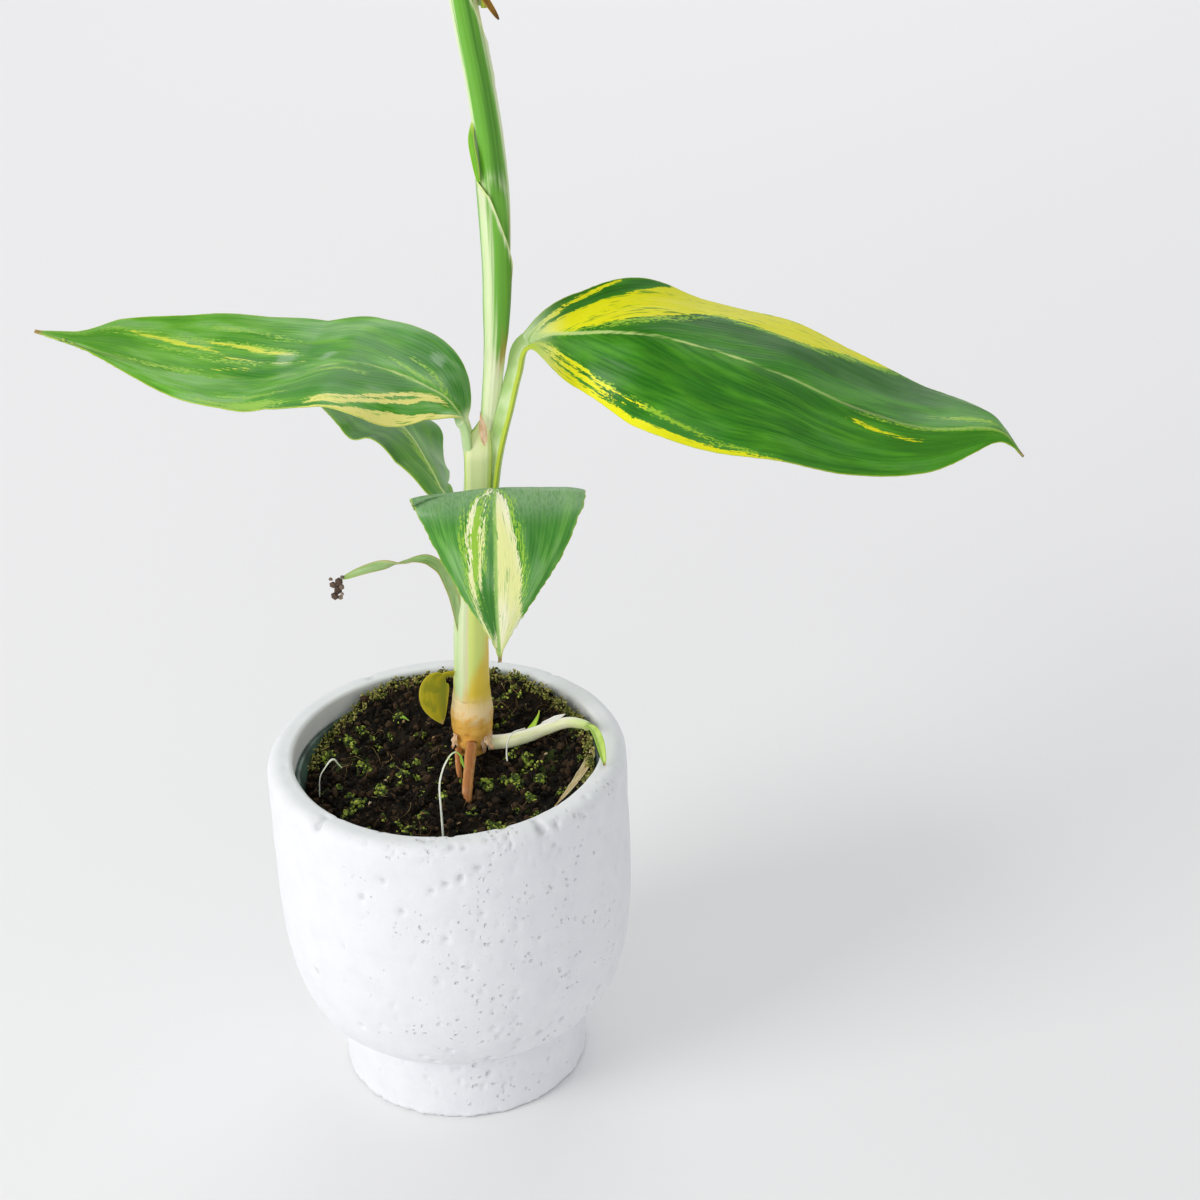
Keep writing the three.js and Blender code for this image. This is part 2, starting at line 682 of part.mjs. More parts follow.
// Stem: the innermost tube with its swollen base, joined with the sheaths wrapped round it.
function stemGeometry() {
  const curve = spineCurve(STEM_AXIS);
  curve.arcLengthDivisions = 400;
  const [bottom, top] = [STEM_AXIS[0][2], STEM_AXIS.at(-1)[2]];
  const placeOf = (z) => {
    let [low, high] = [0, 1];
    for (let i = 0; i < 20; i++) {
      const middle = (low + high) / 2;
      if (curve.getPointAt(middle).z < z) low = middle;
      else high = middle;
    }
    return THREE.MathUtils.clamp((low + high) / 2, 0, 1);
  };
  const radiusAt = (u) => fromTable(STEM_RADII, THREE.MathUtils.clamp(curve.getPointAt(u).z, bottom, top));
  const zero = new THREE.Vector3(1, 0, 0);
  let stem = solidOf(tube(curve, { radius: radiusAt, sides: 14, steps: 32, zero }));
  for (const sheath of SHEATHS) {
    const [highest, lowest] = [placeOf(sheath.topHigh), placeOf(sheath.topLow)];
    const end = (angle) => {
      const share = (1 + Math.cos(angle - radians(sheath.high))) / 2;
      return THREE.MathUtils.lerp(lowest, highest, share);
    };
    const radius = (u) => radiusAt(u) + sheath.over;
    stem = stem.add(solidOf(tube(curve, { radius, sides: 14, steps: 8, zero, start: placeOf(sheath.from), end })));
  }
  return geometryOf(stem);
}

function crumbGeometry() {
  const lumps = CRUMBS.map(({ at, half }) =>
    solidOf(new THREE.IcosahedronGeometry(1, 1).scale(...half).translate(...at)),
  );
  return geometryOf(lumps[0].add(lumps[1]));
}

// Rod with given radii along an axis that isn't parallel to Y.
function rodGeometry(axis, radii, sides, steps) {
  const zero = new THREE.Vector3(0, 1, 0.2);
  return tube(spineCurve(axis), { radius: (u) => along(radii, u), sides, steps, zero });
}

const plant = new THREE.Group();
plant.add(meshOf("pseudostem", stemGeometry(), "#a9cf7d"));
for (const [name, leaf] of Object.entries(LEAVES)) {
  plant.add(meshOf(name, leafGeometry(leaf), leaf.colour, 0.4));
}
plant.add(meshOf("leaf_spear", rodGeometry(SPEAR_AXIS, SPEAR_RADII, 12, 14), "#8fbf4d"));
plant.add(meshOf("side_shoot", rodGeometry(SHOOT_AXIS, SHOOT_RADII, 10, 14), "#dfe6bb"));
for (const [name, root] of Object.entries(ROOTS)) {
  plant.add(meshOf(name, rodGeometry(root.axis, root.radii, 10, 10), "#a9693f", 0.8));
}
plant.add(meshOf("soil_crumbs", crumbGeometry(), "#5a4a3c", 1));

const potted = new THREE.Group();
potted.add(meshOf("pot", potGeometry().rotateX(Math.PI / 2), "#eeeeec", 0.9));
potted.add(meshOf("grow_pot", growPotGeometry().rotateX(Math.PI / 2), "#2f5a50", 0.45));
potted.add(meshOf("soil", soilGeometry(), "#1c150d", 1));
potted.add(plant);

export default potted;
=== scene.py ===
"""Looks for a potted variegated shell ginger: striped leaves on a rolled stem, rooted in mossy
soil in a nursery pot that stands in a white painted concrete cover pot.

Shapes are worked out in millimetres in the part's own frame and go into the meshes in metres.
"""

import math

import bpy
import numpy as np
from mathutils import Matrix


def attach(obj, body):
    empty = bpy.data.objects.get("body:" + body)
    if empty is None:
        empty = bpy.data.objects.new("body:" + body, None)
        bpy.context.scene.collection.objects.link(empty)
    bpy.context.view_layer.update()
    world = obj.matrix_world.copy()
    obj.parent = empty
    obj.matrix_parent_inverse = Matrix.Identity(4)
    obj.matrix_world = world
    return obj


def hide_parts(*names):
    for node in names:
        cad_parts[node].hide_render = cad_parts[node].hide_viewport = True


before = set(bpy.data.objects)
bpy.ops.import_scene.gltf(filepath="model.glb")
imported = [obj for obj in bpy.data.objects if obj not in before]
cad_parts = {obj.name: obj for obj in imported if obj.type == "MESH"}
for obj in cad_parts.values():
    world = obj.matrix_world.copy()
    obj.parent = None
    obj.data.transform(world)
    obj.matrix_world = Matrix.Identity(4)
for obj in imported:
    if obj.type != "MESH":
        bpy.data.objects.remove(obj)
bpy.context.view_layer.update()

MM = 0.001
# Steps of a smooth path from one of its points to the next, and cells to each side of the hills.
PATH_STEPS = 40
HILL_CELLS = 97
# How far inside a stripe, in mm, a point counts that lies near none.
FAR_OUTSIDE = -9.0

# Colours are shown as they are, without a film curve.
bpy.context.scene.view_settings.view_transform = "Standard"

# The camera stands in front, a little to the right, as the photograph's does. It faces along +Y,
# looks down by the first angle and is rolled a little by the second.
camera_place = Matrix.Translation((0.053525, -0.854993, 0.665236))
looks_down, rolled = math.radians(29.6), math.radians(-2.27)
camera = bpy.data.objects.new("camera", bpy.data.cameras.new("camera"))
bpy.context.scene.collection.objects.link(camera)
bpy.context.scene.camera = camera
camera.data.lens = 90
camera.data.sensor_width = 36
camera_tilt = Matrix.Rotation(math.pi / 2 - looks_down, 4, "X")
camera.matrix_world = camera_place @ camera_tilt @ Matrix.Rotation(rolled, 4, "Z")


def linear(hex_colour):
    """Linear RGBA of an sRGB hex colour: ((c + .055) / 1.055) ^ 2.4, or c / 12.92 when very dark."""
    c = np.array([int(hex_colour[i:i + 2], 16) for i in (1, 3, 5)]) / 255
    return (*np.where(c > 0.04045, ((c + 0.055) / 1.055) ** 2.4, c / 12.92), 1)


def smoothstep(x, a=0.0, b=1.0):
    """0 below a, 1 above b, and 3t^2 - 2t^3 between them."""
    t = np.clip((x - a) / (b - a), 0, 1)
    return t * t * (3 - 2 * t)


def unit(a):
    """Vectors of length 1."""
    return a / np.maximum(np.linalg.norm(a, axis=-1, keepdims=True), 1e-12)


def along(values, u):
    """Value at fraction u of a list spread evenly over 0 to 1, easing from one entry to the next."""
    values = np.asarray(values, float)
    place = np.clip(u, 0, 1) * (len(values) - 1)
    i = np.minimum(place.astype(int), len(values) - 2)
    part = smoothstep(place - i)
    return values[i] + (values[i + 1] - values[i]) * part


def hills(x, y, size, seed):
    """Smooth random hills from -1 to 1, about `size` apart: random heights at the corners of square
    cells, eased across each cell. x and y may be arrays of any one shape."""
    heights = np.random.default_rng(seed).uniform(-1, 1, (HILL_CELLS, HILL_CELLS))
    i, j = np.floor(x / size).astype(int), np.floor(y / size).astype(int)
    s, t = smoothstep(x / size - i), smoothstep(y / size - j)
    i, j, k, m = (value % HILL_CELLS for value in (i, j, i + 1, j + 1))
    near = heights[i, j] * (1 - s) + heights[k, j] * s
    return near * (1 - t) + (heights[i, m] * (1 - s) + heights[k, m] * s) * t


def spine(points):
    """Smooth path through points: a Catmull-Rom cubic from each point to the next, whose slope at a
    point is half the step between its neighbours. Returns the path and its length so far."""
    p = np.asarray(points, float)
    p = np.vstack([2 * p[0] - p[1], p, 2 * p[-1] - p[-2]])
    t = np.linspace(0, 1, PATH_STEPS, endpoint=False)[:, None]
    rows = []
    for a, b, c, d in zip(p[:-3], p[1:-2], p[2:-1], p[3:]):
        m, n = 0.5 * (c - a), 0.5 * (d - b)
        rows.append(b + m * t + (3 * (c - b) - 2 * m - n) * t**2 + (2 * (b - c) + m + n) * t**3)
    path = np.vstack(rows + [p[-2:-1]])
    return path, np.concatenate([[0], np.cumsum(np.linalg.norm(np.diff(path, axis=0), axis=1))])


def on_path(path, arc, s):
    """Points and unit directions at lengths s along a path."""
    heading = unit(np.gradient(path, axis=0))
    place = np.stack([np.interp(s, arc, path[:, k]) for k in range(3)], 1)
    return place, unit(np.stack([np.interp(s, arc, heading[:, k]) for k in range(3)], 1))


def mesh_piece(name, points, faces, finish, fields=None, smooth=True):
    """An object at the origin from points in mm, faces as arrays of point numbers, its material,
    and the fields that the material reads: one vector a point, by name."""
    mesh = bpy.data.meshes.new(name)
    mesh.vertices.add(len(points))
    mesh.vertices.foreach_set("co", (np.asarray(points) * MM).astype(np.float32).ravel())
    sizes = np.concatenate([np.full(len(f), f.shape[1]) for f in faces])
    corners = np.concatenate([f.ravel() for f in faces])
    mesh.loops.add(len(corners))
    mesh.loops.foreach_set("vertex_index", corners.astype(np.int32))
    mesh.polygons.add(len(sizes))
    starts = np.concatenate([[0], np.cumsum(sizes)[:-1]])
    mesh.polygons.foreach_set("loop_start", starts.astype(np.int32))
    mesh.polygons.foreach_set("use_smooth", np.full(len(sizes), smooth))
    mesh.update(calc_edges=True)
    for key, values in (fields or {}).items():
        layer = mesh.attributes.new(key, "FLOAT_VECTOR", "POINT")
        layer.data.foreach_set("vector", np.asarray(values, np.float32).ravel())
    mesh.validate()
    mesh.materials.append(finish)
    piece = bpy.data.objects.new(name, mesh)
    bpy.context.scene.collection.objects.link(piece)
    return piece


def ring_faces(rings, sides, caps="fan"):
    """Faces of a closed skin through rings of `sides` points: four-sided between two rings, and at
    each end a fan round a middle point, numbered after the rings, or strips between the ring's
    halves where the ring is the flat edge of a leaf."""
    i, j = np.meshgrid(np.arange(rings - 1), np.arange(sides), indexing="ij")
    k = (j + 1) % sides
    skin = np.stack([i * sides + j, i * sides + k, (i + 1) * sides + k, (i + 1) * sides + j], -1)
    j = np.arange(sides)
    last = (rings - 1) * sides
    if caps == "fan":
        middle = np.full(sides, rings * sides)
        low = np.stack([middle, (j + 1) % sides, j], 1)
        high = np.stack([middle + 1, last + j, last + (j + 1) % sides], 1)
        return [skin.reshape(-1, 4), np.vstack([low, high])]
    j = np.arange(sides // 2 - 1)
    low = np.stack([j, sides - 1 - j, sides - 2 - j, j + 1], 1)
    return [skin.reshape(-1, 4), low, last + low[:, ::-1]]


def capped(rings):
    """Points of rings, one after another, then the middles of the first and the last ring."""
    flat = rings.reshape(-1, rings.shape[-1])
    return np.vstack([flat, rings[0].mean(0), rings[-1].mean(0)])


def closed_skin(name, rings, finish, fields=None):
    """A piece through rings of points with both ends closed. The fields hold one vector a point,
    and the middles of the ends have those of the first and the last point."""
    fields = {key: np.vstack([value, value[:1], value[-1:]]) for key, value in (fields or {}).items()}
    return mesh_piece(name, capped(rings), ring_faces(*rings.shape[:2]), finish, fields)


def add(tree, kind, inputs=None, **settings):
    """Add a node with its settings, and fill its inputs: a socket is linked and a value is set."""
    node = tree.nodes.new(kind)
    for key, value in settings.items():
        setattr(node, key, value)
    for key, value in (inputs or {}).items():
        if isinstance(value, bpy.types.NodeSocket):
            tree.links.new(value, node.inputs[key])
        else:
            node.inputs[key].default_value = value
    return node


class Finish:
    """A material being made: its nodes, its Principled shader, and short ways to add nodes."""

    def __init__(self, name):
        self.material = bpy.data.materials.new(name)
        self.material.use_nodes = True
        self.tree = self.material.node_tree
        self.shader = self.tree.nodes["Principled BSDF"]

    def place(self):
        """The object's own coordinates."""
        return add(self.tree, "ShaderNodeTexCoord").outputs["Object"]

    def field(self, name):
        """A field of the mesh, as one vector."""
        return add(self.tree, "ShaderNodeAttribute", attribute_name=name).outputs["Vector"]

    def parts(self, name):
        """The three numbers of a field of the mesh."""
        return add(self.tree, "ShaderNodeSeparateXYZ", {0: self.field(name)}).outputs

    def drawn(self, vector, *scale):
        """Coordinates scaled along each axis, so that a pattern on them is drawn out."""
        return add(self.tree, "ShaderNodeMapping", {0: vector, 3: scale}).outputs[0]

    def noise(self, place, scale, detail, **more):
        """Smooth noise with so many cells to the metre and so many finer layers."""
        inputs = {0: place, "Scale": scale, "Detail": detail, **more}
        return add(self.tree, "ShaderNodeTexNoise", inputs).outputs[0]

    def ramp(self, value, low, high, to_low=0.0, to_high=1.0, kind="LINEAR"):
        """The value turned into another, straight from low to high and level outside them."""
        return add(self.tree, "ShaderNodeMapRange", {0: value, 1: low, 2: high, 3: to_low, 4: to_high},
                   interpolation_type=kind).outputs[0]

    def share(self, value, low, high, to_low=0.0, to_high=1.0):
        """The same as a ramp, with soft ends."""
        return self.ramp(value, low, high, to_low, to_high, "SMOOTHSTEP")

    def join(self, kind, a, b=0.0):
        """Two values added, multiplied or otherwise joined."""
        return add(self.tree, "ShaderNodeMath", {0: a, 1: b}, operation=kind).outputs[0]

    def layers(self, colour, *steps):
        """A colour with others laid over it, each as a mask and a hex colour or a socket."""
        for mask, tone in steps:
            tone = linear(tone) if isinstance(tone, str) else tone
            inputs = {0: mask, 6: colour, 7: tone}
            colour = add(self.tree, "ShaderNodeMix", inputs, data_type="RGBA").outputs[2]
        return colour

    def done(self, colour, roughness, bump=None, **inputs):
        """The finished material, from its colour, its roughness, its bump as height, strength and
        depth in metres, and the shader's other inputs, whose names have _ for a space."""
        inputs = {key.replace("_", " "): value for key, value in inputs.items()}
        inputs.update({"Base Color": colour, "Roughness": roughness})
        if bump:
            bump = dict(zip(("Height", "Strength", "Distance"), bump))
            inputs["Normal"] = add(self.tree, "ShaderNodeBump", bump).outputs[0]
        for key, value in inputs.items():
            if isinstance(value, bpy.types.NodeSocket):
                self.tree.links.new(value, self.shader.inputs[key])
            else:
                self.shader.inputs[key].default_value = value
        return self.material


def settle(piece, slot, *nodes):
    """Make a piece ride on the pot's body and hide the CAD nodes that it stands for. The slot, which would
    name its finish, is not used.
    """
    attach(piece, "root")
    if nodes:
        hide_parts(*nodes)


def blade_half(width, peak, full, fold, curl, wave=(0, 1, 0)):
    """One half of a blade: its width in mm, the share of the length where it is widest, how full it
    is, its fold from foot to tip and its curl in degrees, and the height in mm, number and start of
    its margin's waves."""
    return dict(width=width, peak=peak, full=full, fold=fold, curl=curl, wave=wave)


# Leaves: the path of the petiole and midrib in mm, and each half blade.
LEAVES = {
    "leaf_right": dict(
        heading=0, blade_from=5, stalk=3.1, roll=(-45, -16, -15, -19),
        spine=[(18.6, 7.4, 209), (20.9, 8, 225), (23.3, 8.4, 236), (26.2, 9.4, 246),
               (29.3, 11.5, 257), (33.4, 13.3, 266.8), (49, 10.7, 269.8), (70, 7.8, 270.8),
               (91, 5, 265), (115, 2.4, 256.8), (137, 0, 246), (158, -2.4, 240), (181, -4.7, 239),
               (190, -7, 230)],
        right=blade_half(35.5, 0.41, 0.9, (-15, -7, -12), -17, (1.6, 1.5, 0.4)),
        left=blade_half(36.5, 0.54, 0.74, (-6, 0, -21), -12, (2.2, 1.7, 0)),
    ),
    "leaf_left": dict(
        heading=180, blade_from=3, stalk=2.1, roll=(5, -18, 7, 12), beak=0.4, channel=0.05,
        spine=[(12.9, 9.4, 212), (14, 9.2, 225), (13.9, 8.9, 233), (12.6, 9.6, 241.5),
               (6.3, 13.2, 250), (-7, 18.2, 254.6), (-24.6, 23.2, 257.4), (-42.3, 27.9, 252.6),
               (-60, 32.6, 248.7), (-82.5, 37.3, 250.6), (-105, 42, 255.8), (-128, 46.9, 262.9)],
        right=blade_half(36.5, 0.41, (0.79, 0.72), (14, 13, 10), 5, (-1, 1.6, 0.37)),
        left=blade_half(31, 0.31, (0.8, 1.08), (-20, -7, -5, -3, 0, 3), -10, (3.4, 1.7, 0.36)),
    ),
    "leaf_back": dict(
        heading=180, blade_from=1, stalk=1.3, roll=(-2, -8, -8),
        spine=[(8.5, 18.8, 197), (6.6, 18.4, 205.5), (4, 19, 213.6), (-0.6, 25, 220.8),
               (-8.6, 35, 227.6), (-20, 45, 229.5), (-34, 55, 231.5), (-50, 65, 232)],
        right=blade_half(24.5, 0.41, (1.1, 0.79), (5, -6, 0), -13),
        left=blade_half(20, 0.35, (0.66, 0.84), (-9, -5, -3), -12),
    ),
    "leaf_front": dict(
        heading=-90, blade_from=0, stalk=2.4, roll=(0, 0, 0), ragged=0.3, droop=(0, 0, 1.2, 1.2, 0.5, 0),
        spine=[(15.5, 6.5, 199), (19.2, -2, 217), (21.6, -11, 228.2), (21.4, -19.4, 224.4),
               (21.2, -22.4, 213.7), (20.6, -25, 195.2), (20.5, -24, 171.6)],
        right=blade_half(26.8, 0.33, 0.74, (-1, -3, 5), -8),
        left=blade_half(28.6, 0.36, 0.82, (0, 0, 5), -6),
    ),
    "leaf_twisted": dict(
        heading=180, blade_from=0, stalk=1, roll=(84, 78, 66, 48, -12, -104, -114),
        spine=[(6.9, 9.8, 160), (6.2, 9.2, 170), (5.2, 8.4, 178.5), (3.4, 7.2, 185.9),
               (1.4, 6, 190.9), (-2.1, 4.2, 194.6), (-6.2, 2.8, 195.6), (-10.4, 1.6, 195.4),
               (-17.5, 0.2, 195.6), (-23.6, -1.6, 194.9), (-29.9, -3, 193)],
        right=blade_half(2, 0.55, 0.5, (20, 10, 0), 5),
        left=blade_half(2, 0.55, 0.5, (20, 10, 0), 5),
    ),
    "leaf_yellow": dict(
        heading=180, blade_from=1, stalk=1.4, roll=(-64, -58, -52),
        spine=[(3.6, 10.2, 147.8), (0.2, 9, 147.8), (-2.4, 7.8, 145), (-3, 6.9, 139.4),
               (-1.3, 6.4, 130.3)],
        right=blade_half(5.8, 0.36, 0.5, (4, 4, 0), 12),
        left=blade_half(5.8, 0.36, 0.5, (4, 4, 0), 12),
    ),
    "side_shoot_leaf": dict(
        heading=-90, blade_from=0, stalk=1.2, roll=(0, 0, 0),
        spine=[(46.9, 3.9, 129.4), (49, 0.4, 129.8), (50.8, -6, 129.9), (52, -12.5, 128.6),
               (52.9, -16.8, 126)],
        right=blade_half(1.3, 0.45, 0.5, (20, 30, 20), 10),
        left=blade_half(1.9, 0.45, 0.5, (20, 20, 10), 10),
    ),
    "side_shoot_bract": dict(
        heading=20, blade_from=0, stalk=0.8, roll=(0, 0),
        spine=[(26.9, 12.6, 121.6), (29.2, 14, 123), (30.7, 15.2, 125.6), (31.3, 15.8, 128.2)],
        right=blade_half(1.5, 0.3, 0.5, (25, 25), 0),
        left=blade_half(1.5, 0.3, 0.5, (25, 25), 0),
    ),
    "dry_strip": dict(
        heading=-100, blade_from=0, stalk=0.8, roll=(24, 12, 4),
        spine=[(49, 3.5, 120.2), (48.5, -1.5, 119.8), (46.2, -6.8, 119.1), (43.1, -13.8, 118.5),
               (39.7, -20.8, 118.2), (35.9, -27.4, 117.6)],
        right=blade_half(1.35, 0.3, 0.4, (5, 0), 10, (0.15, 5, 0)),
        left=blade_half(1.2, 0.3, 0.4, (5, 0), 10, (0.15, 4, 0)),
    ),
    "sheath_lobe": dict(
        heading=110, blade_from=0, stalk=0.9, roll=(70, 70),
        spine=[(21.3, 8.8, 323.6), (20.7, 9.6, 329.6), (19.9, 10.6, 336.4), (20.5, 11.4, 342.4)],
        right=blade_half(1.9, 0.45, 0.5, (10, 10), 10),
        left=blade_half(1.5, 0.45, 0.5, (10, 10), 10),
    ),
    "dry_tip": dict(
        heading=0, blade_from=0, stalk=0.7, roll=(-60, -60),
        spine=[(22.4, 9, 392), (23.7, 9.2, 386), (26.9, 10.6, 380), (30.2, 12.4, 373.6)],
        right=blade_half(1.1, 0.5, 0.5, (15, 15), 0),
        left=blade_half(1.1, 0.5, 0.5, (15, 15), 0),
    ),
    "base_scale_right": dict(
        heading=-30, blade_from=0, stalk=0.9, roll=(-20, -30),
        spine=[(13.2, 7.6, 124), (14.2, 6.8, 121.4), (15.4, 6.2, 119.4)],
        right=blade_half(1.2, 0.3, 0.5, (-12, 10), -20, (0.5, 2.3, 0.1)),
        left=blade_half(1.2, 0.35, 0.5, (-12, 4), -20, (0.4, 1.9, 0.6)),
    ),
    "base_scale_left": dict(
        heading=-140, blade_from=0, stalk=0.9, roll=(10, 20),
        spine=[(2.6, 7.6, 125.2), (2, 7, 122.4), (1.5, 6.6, 120)],
        right=blade_half(1.2, 0.35, 0.5, (-12, 4), -20, (0.4, 2.1, 0.3)),
        left=blade_half(1.1, 0.3, 0.5, (-12, 10), -20, (0.5, 1.7, 0.8)),
    ),
    "leaf_top_right": dict(
        heading=15, blade_from=3, stalk=2, roll=(-10, -6, -6, -8),
        spine=[(25.6, 13.6, 382.6), (26.8, 14, 392), (30, 15, 403), (37, 17, 414),
               (55, 22.5, 430), (78, 29, 438), (101, 35, 437), (123, 41, 428), (141, 46, 413)],
        right=blade_half(29, 0.42, 0.85, (4, 2, -6), -14, (1.6, 1.6, 0.2)),
        left=blade_half(29, 0.45, 0.8, (4, 2, -6), -12, (1.6, 1.4, 0.6)),
    ),
    "leaf_top_left": dict(
        heading=190, blade_from=3, stalk=2, roll=(6, 4, 4, 6),
        spine=[(12.5, 12.8, 406), (10.2, 12.2, 413), (6.4, 11, 422), (0, 9, 432), (-17, 5, 447),
               (-38, 1, 455), (-59, -3, 455), (-79, -7, 447), (-96, -10, 433)],
        right=blade_half(27, 0.42, 0.85, (4, 2, -6), -12, (1.5, 1.5, 0.1)),
        left=blade_half(27, 0.45, 0.8, (4, 2, -6), -14, (1.5, 1.7, 0.5)),
    ),
}


